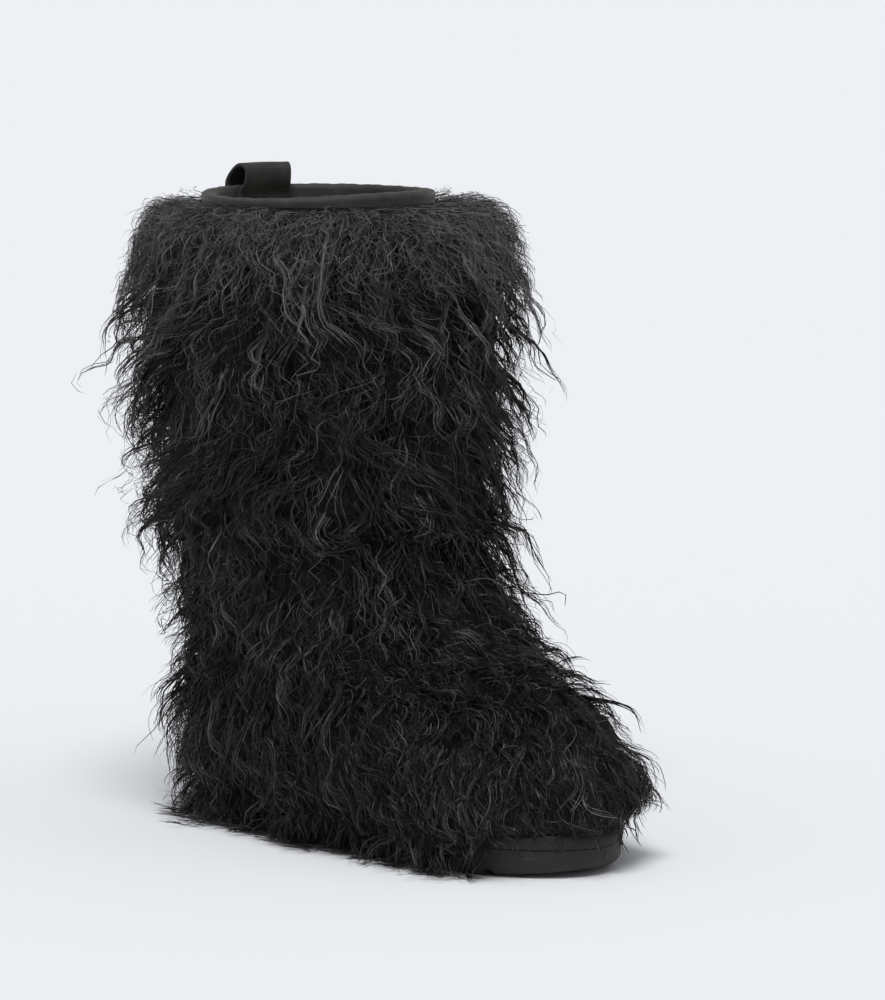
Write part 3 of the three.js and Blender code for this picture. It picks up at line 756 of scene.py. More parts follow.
def locks():
    """Main fur: clumps of a narrow arched lock and hairs that part from it at the tips."""
    u, t = root_places(CLUMPS, CLUMP_SPACING)
    length = fur_length(u, t) * rng.uniform(0.8, 1.2, len(u))
    line, normal, rep = hairs(u, t, length, CLUMP_PARTS, 16, WISPS)
    tone = clump_tones(rep, t, 1.2, 2.6, 0.12)
    face = unit(normal + rng.normal(0, 0.4, (len(line), 1, 3)))
    flat = np.arange(len(line)) % CLUMP_PARTS == 0
    finer_low_down = mixed(1.0, 0.7, smooth(-line[flat][:, :1, 2], -0.13, -0.07))
    radius = thickness(line[flat], 0.4, 1.05, 0.2, 0.3) * finer_low_down
    made = [ribbons("fur_locks", line[flat], radius, tone[flat], face[flat], ARCHED, 0.35, 0.9)]
    line, tone, face = line[~flat], tone[~flat], face[~flat]
    radius = thickness(line, 0.2, 0.4, 0.5)
    order = rng.permutation(len(line))
    for i, some in enumerate(np.array_split(order, STRAND_PIECES)):
        made.append(ribbons(f"fur_strands_{i + 1}", line[some], radius[some], tone[some], face[some]))
    return made


def single_hairs(name, u, t, length, points, style, radius, tones):
    """Hairs that each stand alone, from their style, range of radius and range of tones."""
    line, normal, rep = hairs(u, t, length, 1, points, style)
    return ribbons(name, line, thickness(line, *radius), clump_tones(rep, t, *tones), normal)


def frizz():
    """Loose fine hairs, shorter and more curled, over and between the clumps."""
    u, t = root_places(FRIZZ, FRIZZ_SPACING)
    length = fur_length(u, t) * rng.uniform(0.4, 0.85, len(u))
    return single_hairs("fur_frizz", u, t, length, 12, LOOSE, (0.15, 0.26, 0.5), (2, 2, 0.12))


def shoulder_hairs():
    """Short fine hairs that stand up over the foot of the binding and round the shoulder of the fur."""
    u = rng.uniform(0, AROUND, SHOULDER_HAIRS)
    t = ROOT_TOP + 2.5 - rng.beta(1, 1.8, SHOULDER_HAIRS) * 42
    length = rng.uniform(14, 38, SHOULDER_HAIRS) * MM
    return single_hairs("fur_shoulder", u, t, length, 12, SHOULDER, (0.14, 0.24, 0.6), (2.2, 1.6, 0.1))


def fuzz():
    """Short fine curled hairs in every direction: over all the fur, thickest round its upper edge."""
    u, t = random_places(FUZZ_ALL_OVER)
    rest = FUZZ - FUZZ_ALL_OVER
    u = np.concatenate([u, rng.uniform(0, AROUND, rest)])
    t = np.concatenate([t, ROOT_TOP + 3 - rng.beta(1, 4, rest) * 60])
    length = rng.uniform(8, 20, FUZZ) * MM
    return single_hairs("fur_fuzz", u, t, length, 8, SHORT, (0.12, 0.2, 0.6), (2.2, 1.8, 0.12))


def flow_point(u, t):
    """Points, in mm, for noise that runs down the hide: a ring's x and y, and the level slowed down."""
    ring, _, _ = hide(u, 0.45 * TOP)
    return np.stack([ring[:, 0] / MM, ring[:, 1] / MM, np.full(len(u), t * 0.3)], -1)


def furrows(at, width):
    """Noise between about -1 and 1 at flow points, with features of a width in mm."""
    return np.array([soft_noise.noise(Vector(p)) for p in at / width])


def matted(u, t, point, room):
    """How far the undercoat stands out: in lumps, close to the binding and thin at the front of the toe."""
    at = flow_point(u, t)
    bent = at + 3.5 * np.stack([furrows(at + 50, 14), furrows(at + 90, 14), 0 * u], -1)
    lump = 1 + 0.16 * furrows(bent, 9.0) + 0.12 * furrows(bent + 30, 4.6) + 0.1 * wander(point, 0.03, 5)
    top = smooth(t, FUR_TOP - 14, FUR_TOP)
    rise = mixed(0.68, 0.8, top) * depth_at(u, t) * lump * swell(point) ** 0.6 + 0.8 * MM
    if t >= FUR_TOP:
        rise = np.maximum(rise * smooth(UNDERCOAT_TOP - t, -2.0, 8.0), room + 0.3 * MM)
    return rise * (1 - 0.45 * bare_toe(point) * (1 - smooth(t, 0, 18)))


UNDERCOAT_TOP = level_below(FUR_BARE - 1.5 * MM)


def undercoat():
    """Dense pile under the long hair: a closed sleeve of matted locks, hanging a little past the hide."""
    cols = 264
    u = places_round(cols)
    room = collar_room(u)
    rows, flow = [], []
    top_levels = UNDERCOAT_TOP - np.array([0, 1.0, 2.5, 4.5, 7])
    for t in np.concatenate([top_levels, np.linspace(FUR_TOP, 0, 92)]):
        point, _, _ = hide(u, t)
        rows.append(off_hide(u, t, matted(u, t, point, room)))
        flow.append(flow_point(u, t))
    foot, round_, up = hide(u, 0)
    normal = unit(hide_normal(round_, up) * np.array([1, 1, 0]))
    hang = mixed(15.0, 0.2, bare_toe(foot + np.array([0.012, 0, 0]))) * MM
    last = rows[-1]
    for share in (0.35, 0.7, 1.0):
        row = last - normal * (2.0 * MM * share**2)
        row[:, 2] -= hang * share
        rows.append(row)
    rows.append(rows[-1] - normal * 1.2 * MM)
    rows += [off_hide(u, t, 0.35 * MM) for t in (0.6, 12, 30, 60, 100, 150, 200, 260, FUR_TOP - 2)]
    rows += [off_hide(u, t, room) for t in (FUR_TOP - 1.5, level_below(FUR_BARE - 1.2 * MM))]
    flow += [flow[-1]] * (len(rows) - len(flow))
    obj = sleeve("fur_undercoat", np.array(rows)[::-1])
    set_grain(obj, np.array(flow)[::-1])
    return obj


# Collar


def rim_wave(point):
    """Slight unevenness of the collar: a little low at the outer side, a little high at the front."""
    middle = RINGS[-1].mean(0)
    angle = np.arctan2(point[:, 1] - middle[1], point[:, 0] - middle[0]) + AZIMUTH_OUT
    angle = (angle + math.pi) % (2 * math.pi) - math.pi
    return RIM_WAVE * np.sin(1.6 * angle) * np.cos(angle / 2) ** 2


def collar_frame(u):
    """Points of the collar's edge, level outward normals, and the hide's own downward direction."""
    point, round_, _ = hide(u, TOP)
    point[:, 2] += rim_wave(point)
    below, _, _ = hide(u, level_below(BINDING_OUTSIDE))
    side = unit(np.cross(round_, UP))
    return point, side, unit(below - point)


def on_collar(u, out, drop):
    """Points at an outward offset and a drop below the collar's edge, following the hide's lean."""
    point, side, down = collar_frame(u)
    drop = np.broadcast_to(drop, u.shape)[:, None]
    return point + side * out + down * np.maximum(drop, 0) + UP * np.maximum(-drop, 0)


def binding():
    """Folded strip of soft hide over the collar's edge, with a rolled lip and a sewn lower edge."""
    cols = 220
    u = places_round(cols)
    wobble = 0.12 * MM * np.sin(u * 5.1) + 0.1 * MM * np.sin(u * 11.3 + 1)
    low, deep = BINDING_OUTSIDE / MM, BINDING_INSIDE / MM
    seam, seam_in = SEAM_OUTSIDE / MM, SEAM_INSIDE / MM
    outer = [(-0.5, low), (-0.05, low - 0.7), (0.05, seam + 1), (-0.32, seam), (0.02, seam - 1),
             (0.12, 5.0), (0.02, 2.6), (0.3, 1.2), (0.2, -0.3), (-0.5, -1.4)]
    lip = [(0.8, -2.0), (-0.8, -2.0)]
    inner = [(0.5, -1.4), (-0.15, -0.3), (-0.2, 1.2), (0.05, 2.8), (0.0, 8.0), (0.0, 13.0),
             (0.05, seam_in - 0.8), (0.4, seam_in), (0.05, seam_in + 0.8), (0.1, deep - 0.6), (0.6, deep)]
    parts = ((BINDING_FACE, outer), (-WALL / 2, lip), (-WALL - BINDING_FACE, inner))
    section = [(face + out * MM, drop * MM) for face, part in parts for out, drop in part]
    section += [(-WALL - CLEAR, drop) for drop in (BINDING_INSIDE, 10 * MM, -CLEAR)]
    section += [(CLEAR, drop) for drop in (-CLEAR, 6 * MM, BINDING_OUTSIDE)]
    rows = [on_collar(u, out, drop - wobble * (drop < 0)) for out, drop in section]
    return sleeve("collar_binding_soft", np.array(rows)[::-1])


STITCH_SIDES = 5
STITCH_RINGS = ((0.0, 0.4, -0.6), (0.2, 0.95, 0.4), (0.8, 0.95, 0.4), (1.0, 0.4, -0.6))  # along, radius, rise


def stitches(name, runs, radius):
    """Small closed stitches, from runs of their starts, ends and the directions in which they stand out."""
    a, b, push = (np.concatenate(part)[:, None] for part in zip(*runs))
    side = unit(np.cross(b - a, push))
    turn = 2 * math.pi * np.arange(STITCH_SIDES)[:, None] / STITCH_SIDES
    around = side * np.cos(turn) + push * np.sin(turn)
    rings = [a + (b - a) * at + (push * rise + around * thick) * radius for at, thick, rise in STITCH_RINGS]
    points = np.stack(rings, 1)
    size = len(STITCH_RINGS) * STITCH_SIDES
    last = size - STITCH_SIDES
    tris = []
    for k in range(1, STITCH_SIDES - 1):
        tris += [[0, k + 1, k], [last, last + k, last + k + 1]]
    quads, tris = (repeated(faces, size, len(a)) for faces in (loft_quads(points[0]), tris))
    return new_mesh(name, points.reshape(-1, 3), quads, tris)


def collar_stitches():
    """Two rows of stitches: outside above the binding's lower edge and inside above its own."""
    fine = np.linspace(0, AROUND, 2001)
    length, radius = COLLAR_STITCH
    outside = (BINDING_FACE - radius, SEAM_OUTSIDE, 1)
    inside = (-WALL - BINDING_FACE + 0.36 * MM, SEAM_INSIDE, -1)
    runs = []
    for out, drop, facing in (outside, inside):
        run = run_along(on_collar(fine, out, drop))
        count = int(run[-1] / STITCH_PITCH)
        starts = np.arange(count) * run[-1] / count
        ua, ub = (np.interp(at, run, fine) for at in (starts, starts + length))
        _, side, _ = collar_frame(ua)
        runs.append((on_collar(ua, out, drop), on_collar(ub, out, drop), side * facing))
    return stitches("collar_stitching", runs, radius)


# Route of the pull loop's middle line: shares of half the gap between its legs, and of its rise
LOOP_ROUTE = [
    (1.0, -BINDING_OUTSIDE / LOOP_RISE), (1.06, -0.3), (1.04, 0.05), (0.97, 0.23), (0.33, 0.62),
    (-0.55, 0.93), (-1.25, 1.0), (-1.98, 0.85), (-2.13, 0.53), (-1.9, 0.13),
    (-1.16, -0.3), (-1.02, -0.7), (-1.0, -BINDING_INSIDE / LOOP_RISE),
]


def loop_path(count):
    """Out and up of the loop's middle line at even steps, with its outward normals and its length."""
    outer = 2 * CLEAR + BINDING
    inner = -WALL - outer
    middle, half_gap = (outer + inner) / 2, (outer - inner) / 2 + LOOP_THICK / 2
    knots = np.array([(middle + o * half_gap, (LOOP_RISE - LOOP_THICK / 2) * r) for o, r in LOOP_ROUTE])
    spans = np.linalg.norm(np.diff(knots, axis=0), axis=1) ** 0.5
    at = np.concatenate([[0], np.cumsum(spans)])
    fine = np.linspace(0, at[-1], 600)
    slopes = np.gradient(knots, at, axis=0)
    i = np.clip(np.searchsorted(at, fine, side="right") - 1, 0, len(at) - 2)
    span = (at[i + 1] - at[i])[:, None]
    w = (fine - at[i])[:, None] / span
    line = curve(knots[i], knots[i + 1], slopes[i] * span, slopes[i + 1] * span, w)
    line, length = evenly(line, count)
    ahead = unit(np.gradient(line, axis=0))
    return line, np.stack([-ahead[:, 1], ahead[:, 0]], -1), length


def span_to(length):
    """How far round the collar, in ring steps, a length from the back reaches."""
    fine = np.linspace(0, AROUND / 2, 800)
    return np.interp(length, run_along(on_collar(fine, CLEAR, 0.0)), fine)


LOOP_ENDS = (-span_to(LOOP_WIDTH / 2 + LOOP_SHIFT), span_to(LOOP_WIDTH / 2 - LOOP_SHIFT))


def loop_points(v, out, up):
    """Points of the loop at v across it (-1 to 1), out from the hide and up over the binding's top."""
    point, side, down = collar_frame(mixed(*LOOP_ENDS, (v + 1) / 2))
    below = np.maximum(-up, 0)[:, None]
    rise = (BINDING_FACE + np.maximum(up, 0))[:, None]
    return point + side * out[:, None] + down * below + UP * rise


# Upper half of the loop's section, from edge to edge: shares of half its width and of half its thickness
LOOP_SECTION = [
    (-1.0, 0.0), (-0.985, 0.7), (-0.95, 0.97), (-0.8, 0.9), (-0.4, 1.0), (0, 1.03),
    (0.4, 1.0), (0.8, 0.9), (0.95, 0.97), (0.985, 0.7), (1.0, 0.0),
]


def pull_loop():
    """Strap with rounded edges, its faces a little crowned, sewn down at both ends."""
    line, away, _ = loop_path(72)
    section = LOOP_SECTION + [(v, -h) for v, h in LOOP_SECTION[-2:0:-1]]
    v, h = np.array(section).T
    h = h[:, None] * LOOP_THICK / 2
    rows = [loop_points(v, *(middle + normal * h).T) for middle, normal in zip(line, away)]
    return capped("pull_loop_soft", np.array(rows))


def loop_stitches():
    """Stitches along both edges of the loop, on both its faces."""
    line, away, run = loop_path(400)
    at = np.linspace(0, run, len(line))
    count = int(run / STITCH_PITCH)
    starts = (np.arange(count) + 0.15) * run / count
    length, radius = LOOP_STITCH

    def on_loop(v, along, height):
        """Points at v across the loop and distances along it, at a height over its middle."""
        out, up = (np.interp(along, at, line[:, i] + away[:, i] * height) for i in (0, 1))
        return loop_points(np.full(count, v), out, up)

    runs = []
    for v in (-LOOP_SEAM, LOOP_SEAM):
        for face in (1, -1):
            height = face * LOOP_THICK / 2 * 0.9
            a, b = (on_loop(v, along, height) for along in (starts, starts + length))
            runs.append((a, b, unit(on_loop(v, starts, height + face * MM) - a)))
    return stitches("loop_stitching", runs, radius)


# Lining


def lining():
    """Woolly pile inside the shaft and foot, as a closed sleeve on the inner wall."""
    cols = 150
    u = places_round(cols)
    rows = []
    top = level_below(BINDING_INSIDE + 0.6 * MM)
    for t in np.linspace(top, 6, 56):
        point, _, _ = hide(u, t)
        curl = 0.55 * wander(point, 0.007, 31) + 0.45 * wander(point, 0.0042, 32)
        pile = (1.9 + 0.75 * curl) * MM * (0.35 + 0.65 * smooth(top - t, -1, 6))
        rows.append(off_hide(u, t, -(WALL + 0.2 * MM + pile)))
    rows += [off_hide(u, t, -WALL - 0.15 * MM) for t in (6, 30, 60, 100, 150, 200, 260, top)]
    return sleeve("fleece_lining", np.array(rows))


# Sole

TUCK = 4 * MM  # this and what follows as in the solids
SPRING = 5 * MM
SPRING_START = 0.76
ARCH_RISE = 4 * MM
GROOVE_WIDTH, GROOVE_DEPTH = 4 * MM, 3 * MM
HEEL_TREAD, FORE_TREAD = (0.09, 0.34, 5), (0.5, 0.88, 8)  # from, to and grooves, as shares of the length
CUT_SIDE, CUT_UNDER = 100 * MM, 10 * MM  # how far the cuts reach to each side, and down past the floor
BOX_FACES = ((0, 3, 2, 1), (4, 5, 6, 7), (0, 1, 5, 4), (1, 2, 6, 5), (2, 3, 7, 6), (3, 0, 4, 7))
SHARP = math.radians(35)
SOLE_POINTS = 240
MIDSOLE_LOW, MIDSOLE_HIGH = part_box("midsole")
OUTSOLE_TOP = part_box("outsole")[1].z


def outline(node):
    """Corners of the node's outline seen from above, from the back along -Y: its convex hull."""
    places = sorted({(round(v.co.x, 6), round(v.co.y, 6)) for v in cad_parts[node].data.vertices})

    def half(points):
        chain = []
        for x, y in points:
            while len(chain) > 1:
                (x0, y0), (x1, y1) = chain[-2:]
                if (x1 - x0) * (y - y0) > (y1 - y0) * (x - x0):
                    break
                chain.pop()
            chain.append((x, y))
        return chain[:-1]

    return np.array(half(places) + half(places[::-1]))


def smooth_outline(node):
    """The outline as an even, rounded loop that starts at the back and turns along -Y."""
    hull = outline(node)
    fine = SOLE_POINTS * 4
    loop, _ = evenly(np.concatenate([hull, hull[:1]]), fine, closed=True)
    width = fine // 26
    kernel = np.hanning(2 * width + 1)
    kernel /= kernel.sum()
    soft = np.zeros_like(loop)
    for k, weight in zip(range(-width, width + 1), kernel):
        soft += weight * np.roll(loop, k, axis=0)
    return soft[::4]


def spring(x, z):
    """How far the outsole's toe is lifted: most at the floor, not at all at its top."""
    share = np.maximum((x - along_sole(SPRING_START)) / (MIDSOLE_HIGH.x - along_sole(SPRING_START)), 0)
    return SPRING * share**2 * (1 - z / OUTSOLE_TOP)


def along_sole(share):
    """X at a share of the sole's length."""
    return mixed(MIDSOLE_LOW.x, MIDSOLE_HIGH.x, share)


def sole_rows(loop, rows, lift=None):
    """Rings of the outline moved in by inset and set at heights, a row for each (inset, height)."""
    ahead = unit(np.roll(loop, -1, 0) - np.roll(loop, 1, 0))
    outward = np.stack([ahead[:, 1], -ahead[:, 0]], -1)
    made = []
    for inset, z in rows:
        flat = loop - outward * inset
        height = np.full(len(loop), z)
        if lift is not None:
            height = height + lift(flat[:, 0], z)
        made.append(np.concatenate([flat, height[:, None]], 1))
    return np.array(made)


def midsole():
    """Foam band with softly rounded edges."""
    z0, z1 = MIDSOLE_LOW.z, MIDSOLE_HIGH.z
    rows = [
        (9 * MM, z0), (0.9 * MM, z0), (0.55 * MM, z0 + 0.2 * MM), (0.4 * MM, z0 + 1.0 * MM),
        (0.12 * MM, z0 + 2.6 * MM), (0.0, z0 + 4.2 * MM), (0.15 * MM, z0 + 5.6 * MM),
        (0.55 * MM, z1 - 1.3 * MM), (1.1 * MM, z1 - 0.4 * MM), (1.9 * MM, z1), (9 * MM, z1),
    ]
    return capped("midsole_band", sole_rows(smooth_outline("midsole"), rows))


def tread_cutter():
    """Boxes that cut the arch and the grooves of both treads out of the outsole, as one mesh."""
    boxes = [(along_sole(HEEL_TREAD[1]) + ARCH_RISE, along_sole(FORE_TREAD[0]) - ARCH_RISE, ARCH_RISE)]
    for start, end, count in (HEEL_TREAD, FORE_TREAD):
        for i in range(count):
            x = along_sole(start + (i + 0.5) * (end - start) / count)
            boxes.append((x - GROOVE_WIDTH / 2, x + GROOVE_WIDTH / 2, spring(x, 0.0) + GROOVE_DEPTH))
    points = []
    for x0, x1, top in boxes:
        for z in (-CUT_UNDER, top):
            points += [(x0, -CUT_SIDE, z), (x1, -CUT_SIDE, z), (x1, CUT_SIDE, z), (x0, CUT_SIDE, z)]
    return new_mesh("tread_cutter", np.array(points), repeated(BOX_FACES, 8, len(boxes)), shade=False)


def outsole():
    """Rubber plate with its side tucked under, toe spring, arch and grooves across both treads."""
    top = OUTSOLE_TOP
    rows = [
        (TUCK + 0.6 * MM, 0.0), (TUCK - 0.3 * MM, 0.25 * MM), (TUCK * 0.55, 1.3 * MM), (TUCK * 0.2, 3.2 * MM),
        (0.0, 5.4 * MM), (0.0, 10 * MM), (0.0, top - 0.3 * MM), (0.25 * MM, top),
    ]
    plate = bridged("outsole_rubber", sole_rows(smooth_outline("outsole"), rows, spring))
    cutter = tread_cutter()
    change = plate.modifiers.new("tread", "BOOLEAN")
    change.operation = "DIFFERENCE"
    change.solver = "EXACT"
    change.object = cutter
    done = plate.evaluated_get(bpy.context.evaluated_depsgraph_get())
    mesh = bpy.data.meshes.new_from_object(done)
    plate.modifiers.clear()
    plate.data = mesh
    bpy.data.objects.remove(cutter)
    mesh.set_sharp_from_angle(angle=SHARP)
    return plate


# Materials


def material(name, build, **sockets):
    """Material with set values for some sockets, and a function that builds the rest of its look."""
    mat = bpy.data.materials.new(name)
    mat.use_nodes = True
    tree = mat.node_tree
    tree.nodes.clear()
    out = tree.nodes.new("ShaderNodeOutputMaterial")
    shader = tree.nodes.new("ShaderNodeBsdfPrincipled")
    tree.links.new(shader.outputs["BSDF"], out.inputs["Surface"])
    for key, value in sockets.items():
        shader.inputs[key.replace("_", " ")].default_value = value
    build(tree, shader)
    return mat


def noise(tree, scale, detail=4.0, rough=0.5, at=None, bend=0.0):
    """Noise between 0 and 1 at a vector, or else in the object's own space."""
    if at is None:
        at = tree.nodes.new("ShaderNodeTexCoord").outputs["Object"]
    tex = tree.nodes.new("ShaderNodeTexNoise")
    for key, value in {"Scale": scale, "Detail": detail, "Roughness": rough, "Distortion": bend}.items():
        tex.inputs[key].default_value = value
    tree.links.new(at, tex.inputs["Vector"])
    return tex.outputs["Fac"]


def tint(tree, shader, socket, source, *stops):
    """Colours a socket by a value, with stops of (value, red, green, blue) or (value, grey)."""
    node = tree.nodes.new("ShaderNodeValToRGB")
    tree.links.new(source, node.inputs["Fac"])
    elements = node.color_ramp.elements
    while len(elements) < len(stops):
        elements.new(0.5)
    for element, (at, *shade) in zip(elements, stops):
        element.position = at
        element.color = (*(shade * 3)[:3], 1)
    tree.links.new(node.outputs["Color"], shader.inputs[socket])


def math_node(tree, kind, *values):
    """Result of a sum on numbers and on other nodes' outputs."""
    node = tree.nodes.new("ShaderNodeMath")
    node.operation = kind
    for socket, value in zip(node.inputs, values):
        if isinstance(value, (int, float)):
            socket.default_value = value
        else:
            tree.links.new(value, socket)
    return node.outputs["Value"]


def blend(tree, a, share, b):
    """A share of a and the rest of b."""
    first = math_node(tree, "MULTIPLY", a, share)
    return math_node(tree, "ADD", first, math_node(tree, "MULTIPLY", b, 1 - share))


def bump(tree, shader, source, strength, distance):
    """Relief on a surface, from a height."""
    node = tree.nodes.new("ShaderNodeBump")
    node.inputs["Strength"].default_value = strength
    node.inputs["Distance"].default_value = distance
    tree.links.new(source, node.inputs["Height"])
    tree.links.new(node.outputs["Normal"], shader.inputs["Normal"])


def attribute(tree, name, output):
    """Output of a node that reads a mesh attribute."""
    node = tree.nodes.new("ShaderNodeAttribute")
    node.attribute_name = name
    return node.outputs[output]


def sheen_fibres(tree, scale, seed):
    """Thin curly bright lines along the flow of a grain attribute, between 0 and 1: hairs painted with their
    sheen.
    """
    shift = tree.nodes.new("ShaderNodeVectorMath")
    shift.operation = "ADD"
    shift.inputs[1].default_value = (seed, seed, seed)
    tree.links.new(attribute(tree, "grain", "Vector"), shift.inputs[0])
    waves = noise(tree, scale, 2, at=shift.outputs["Vector"], bend=1.2)
    off = math_node(tree, "ABSOLUTE", math_node(tree, "SUBTRACT", waves, 0.5), 0)
    line = math_node(tree, "SUBTRACT", 1.0, math_node(tree, "MULTIPLY", off, 11))
    return math_node(tree, "MAXIMUM", line, 0.0)


def fur_look(tree, shader):
    """Near black hair, paler by clump, by patch and in streaks along each hair; the ramp's palest stop paints
    highlights on the hairs and streaks that reach it.
    """
    parts = tree.nodes.new("ShaderNodeSeparateColor")
    tree.links.new(attribute(tree, "tone", "Color"), parts.inputs["Color"])
    grain = noise(tree, 2.2, 3, 0.6, at=attribute(tree, "grain", "Vector"))
    streak = math_node(tree, "MULTIPLY", grain, 0.8)
    patch = math_node(tree, "MULTIPLY", noise(tree, 28, 3), 0.5)
    own = math_node(tree, "MULTIPLY", parts.outputs["Red"], 0.58)
    total = math_node(tree, "ADD", math_node(tree, "ADD", own, patch), streak)
    # The palest stop is a painted highlight, reached only by the palest hairs and streaks; the tone's red
    # also carries painted top light near the collar.
    tint(tree, shader, "Base Color", math_node(tree, "MULTIPLY", total, 0.84),
         (0.58, 0.0014, 0.0014, 0.0016), (0.78, 0.0042, 0.0042, 0.0045),
         (0.9, 0.021, 0.0208, 0.0215), (1.0, 0.088, 0.087, 0.09))
    rough = math_node(tree, "MULTIPLY_ADD", parts.outputs["Blue"], 0.26, 0.3)
    tree.links.new(rough, shader.inputs["Roughness"])
    bump(tree, shader, grain, 0.8, 0.5 * MM)


def undercoat_look(tree, shader):
    """Black pile with fine paler fibres in patches, their paleness a painted sheen."""
    patches = noise(tree, 70, 3)
    thick = math_node(tree, "MULTIPLY", sheen_fibres(tree, 0.3, 0), 0.8)
    both = math_node(tree, "MAXIMUM", thick, sheen_fibres(tree, 0.62, 31))
    lit = math_node(tree, "MULTIPLY", both, math_node(tree, "MULTIPLY", patches, 1.7))
    # the pale end of this ramp is painted sheen on the fibres
    tint(tree, shader, "Base Color", lit,
         (0.0, 0.0016, 0.0016, 0.0017), (0.5, 0.0045, 0.0045, 0.0048), (1.0, 0.04, 0.039, 0.041))
    bump(tree, shader, both, 1.0, 1.5 * MM)


SUEDE = {"Sheen_Weight": 0.22, "Sheen_Roughness": 0.4, "Specular_IOR_Level": 0.4}
SUEDE_TONES = [(0.36, 0.0118, 0.0113, 0.0113), (0.52, 0.0202, 0.0193, 0.019), (0.68, 0.036, 0.0345, 0.034)]


def suede_look(tree, shader, pale=1.0):
    """Black suede, cloudy and napped."""
    cloud = noise(tree, 90, 5, 0.6)
    nap = noise(tree, 1800, 4, 0.7)
    tones = [(at, *(pale * part for part in shade)) for at, *shade in SUEDE_TONES]
    tint(tree, shader, "Base Color", blend(tree, cloud, 0.65, nap), *tones)
    tint(tree, shader, "Roughness", cloud, (0.3, 0.56), (0.7, 0.74))
    bump(tree, shader, nap, 0.55, 0.25 * MM)


def pale_suede_look(tree, shader):
    """The same suede, paler, for the binding."""
    suede_look(tree, shader, 1.45)


def fleece_look(tree, shader):
    """Cream pile, darker where its relief is low: painted shade between its curls."""
    both = blend(tree, noise(tree, 420, 5, 0.65), 0.7, noise(tree, 1500, 3, 0.6))
    # the dark cream at low relief is painted shade in the hollows between curls
    tint(tree, shader, "Base Color", both,
         (0.36, 0.3, 0.25, 0.16), (0.48, 0.62, 0.56, 0.41), (0.62, 0.84, 0.79, 0.64))
    bump(tree, shader, both, 1.0, 2.4 * MM)


def foam_look(tree, shader):
    """Black foam with a fine pebbled skin."""
    cloud = noise(tree, 60, 4)
    tint(tree, shader, "Base Color", cloud, (0.35, 0.0085, 0.0085, 0.009), (0.65, 0.015, 0.015, 0.0158))
    tint(tree, shader, "Roughness", cloud, (0.3, 0.62), (0.7, 0.78))
    bump(tree, shader, noise(tree, 1300, 3, 0.5), 0.25, 0.12 * MM)


def rubber_look(tree, shader):
    """Black rubber, a little dusty."""
    dust = noise(tree, 35, 6, 0.65)
    tint(tree, shader, "Base Color", dust,
         (0.35, 0.0055, 0.0055, 0.0058), (0.6, 0.0098, 0.0098, 0.0102), (0.75, 0.02, 0.0195, 0.019))
    tint(tree, shader, "Roughness", dust, (0.3, 0.5), (0.75, 0.72))
    bump(tree, shader, noise(tree, 900, 3), 0.2, 0.1 * MM)


def thread_look(tree, shader):
    """Black thread with a fine twist."""
    tint(tree, shader, "Base Color", noise(tree, 3000, 2), (0.3, 0.01), (0.7, 0.022))


def floor_look(tree, shader):
    """Almost even pale floor."""
    faint = noise(tree, 0.6, 2)
    tint(tree, shader, "Base Color", faint, (0.0, 0.828, 0.845, 0.878), (1.0, 0.834, 0.851, 0.884))


LOOKS = {
    "fur": material("fur_hair", fur_look, Specular_IOR_Level=0.42),
    "undercoat": material("fur_undercoat", undercoat_look, Roughness=0.6, Specular_IOR_Level=0.2),
    "suede": material("suede", suede_look, **SUEDE),
    "pale suede": material("pale_suede", pale_suede_look, **SUEDE),
    "fleece": material("fleece", fleece_look, Roughness=0.95, Sheen_Weight=0.3, Specular_IOR_Level=0.2),
    "foam": material("foam", foam_look, Specular_IOR_Level=0.4),
    "rubber": material("rubber", rubber_look, Specular_IOR_Level=0.45),
    "thread": material("thread", thread_look, Roughness=0.6, Specular_IOR_Level=0.3),
    "floor": material("floor", floor_look, Roughness=1.0, Specular_IOR_Level=0.0),
}


def dress(obj, look):
    """Gives an object one material."""
    obj.data.materials.clear()
    obj.data.materials.append(LOOKS[look])


def piece(obj, look, slot, *nodes):
    """Dresses a piece of the boot and declares its body and the solids that it replaces."""
    dress(obj, look)
    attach(obj, "root")
    if nodes:
        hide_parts(*nodes)


# Pieces

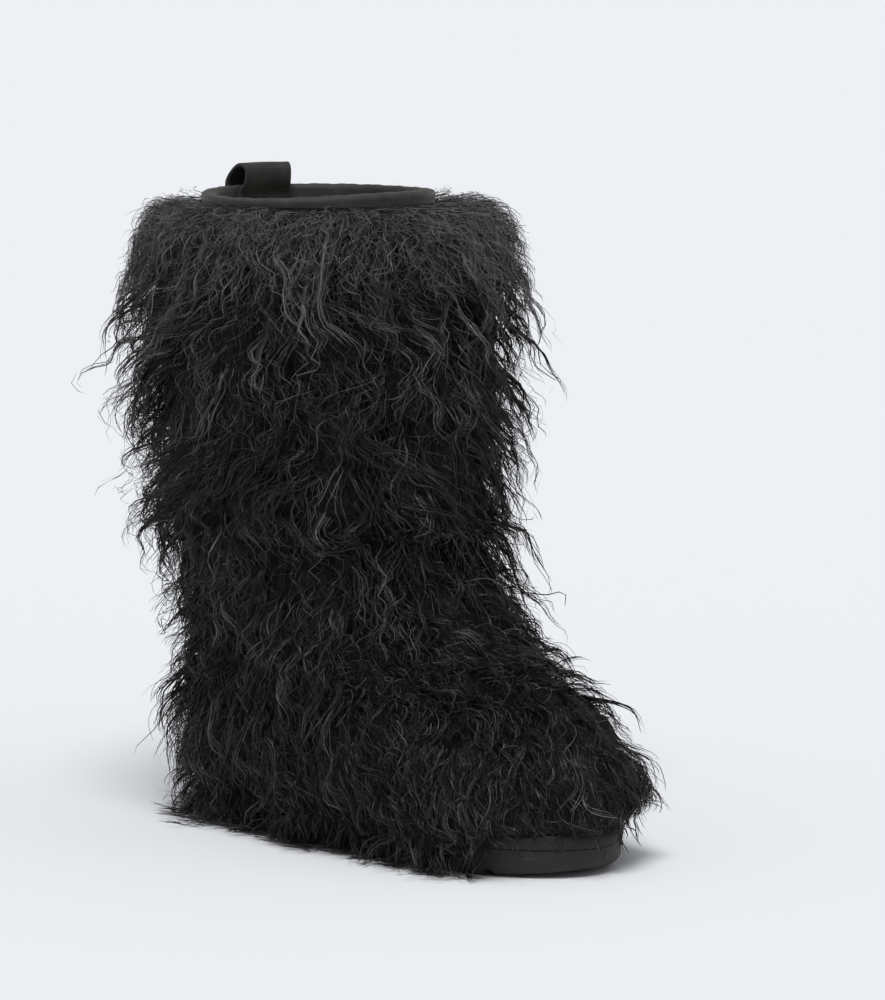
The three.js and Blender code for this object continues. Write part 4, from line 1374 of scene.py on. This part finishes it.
for made in (*locks(), frizz(), shoulder_hairs(), fuzz()):
    piece(made, "fur", "fur", "fur")
piece(undercoat(), "undercoat", "fur", "fur")
# the binding is dressed in a paler copy of the suede
piece(binding(), "pale suede", "suede", "collar_binding")
piece(collar_stitches(), "thread", "suede")
piece(pull_loop(), "suede", "suede", "pull_loop")
piece(loop_stitches(), "thread", "suede")
piece(lining(), "fleece", "fleece")
piece(midsole(), "foam", "midsole_foam", "midsole")
piece(outsole(), "rubber", "outsole_rubber", "outsole")
for node, look in {"upper": "suede", "insole": "fleece"}.items():
    dress(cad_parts[node], look)

# Floor, light and camera

bpy.ops.mesh.primitive_circle_add(vertices=96, radius=45, fill_type="NGON", location=(0, 0, 0))
ground = bpy.context.object
ground.name = "floor"
dress(ground, "floor")

world = bpy.data.worlds.new("studio")
bpy.context.scene.world = world
world.use_nodes = True
sky = world.node_tree.nodes["Background"]
sky.inputs["Color"].default_value = (1.0, 1.0, 1.0, 1)
sky.inputs["Strength"].default_value = 0.32


def sun(name, strength, spread, towards):
    """Soft distant light that shines from a direction."""
    light = bpy.data.lights.new(name, "SUN")
    light.energy = strength
    light.angle = math.radians(spread)
    lamp = bpy.data.objects.new(name, light)
    lamp.rotation_euler = Vector(towards).to_track_quat("Z", "Y").to_euler()
    bpy.context.scene.collection.objects.link(lamp)


towards_camera = Vector((math.sin(AZIMUTH), -math.cos(AZIMUTH), 0))
right = Vector((math.cos(AZIMUTH), math.sin(AZIMUTH), 0))
above = Vector((0, 0, 1))
sun("key", 2.35, 26, towards_camera * 0.5 - right * 0.05 + above * 0.85)
sun("fill", 0.3, 70, towards_camera * 0.5 + right * 0.5 + above * 0.6)

eye = Vector((TARGET.x, TARGET.y, EYE_HEIGHT)) + towards_camera * DISTANCE
aim = TARGET + right * AIM_RIGHT + above * AIM_UP
camera = bpy.data.cameras.new("camera")
camera.sensor_width = 36
camera.lens = FOCAL_PX * camera.sensor_width / FRAME_TALL
camera.clip_end = 200
camera_object = bpy.data.objects.new("camera", camera)
camera_object.location = eye
camera_object.rotation_euler = (aim - eye).to_track_quat("-Z", "Y").to_euler()
bpy.context.scene.collection.objects.link(camera_object)
bpy.context.scene.camera = camera_object

scene = bpy.context.scene
scene.view_settings.view_transform = "Standard"
scene.view_settings.look = "None"
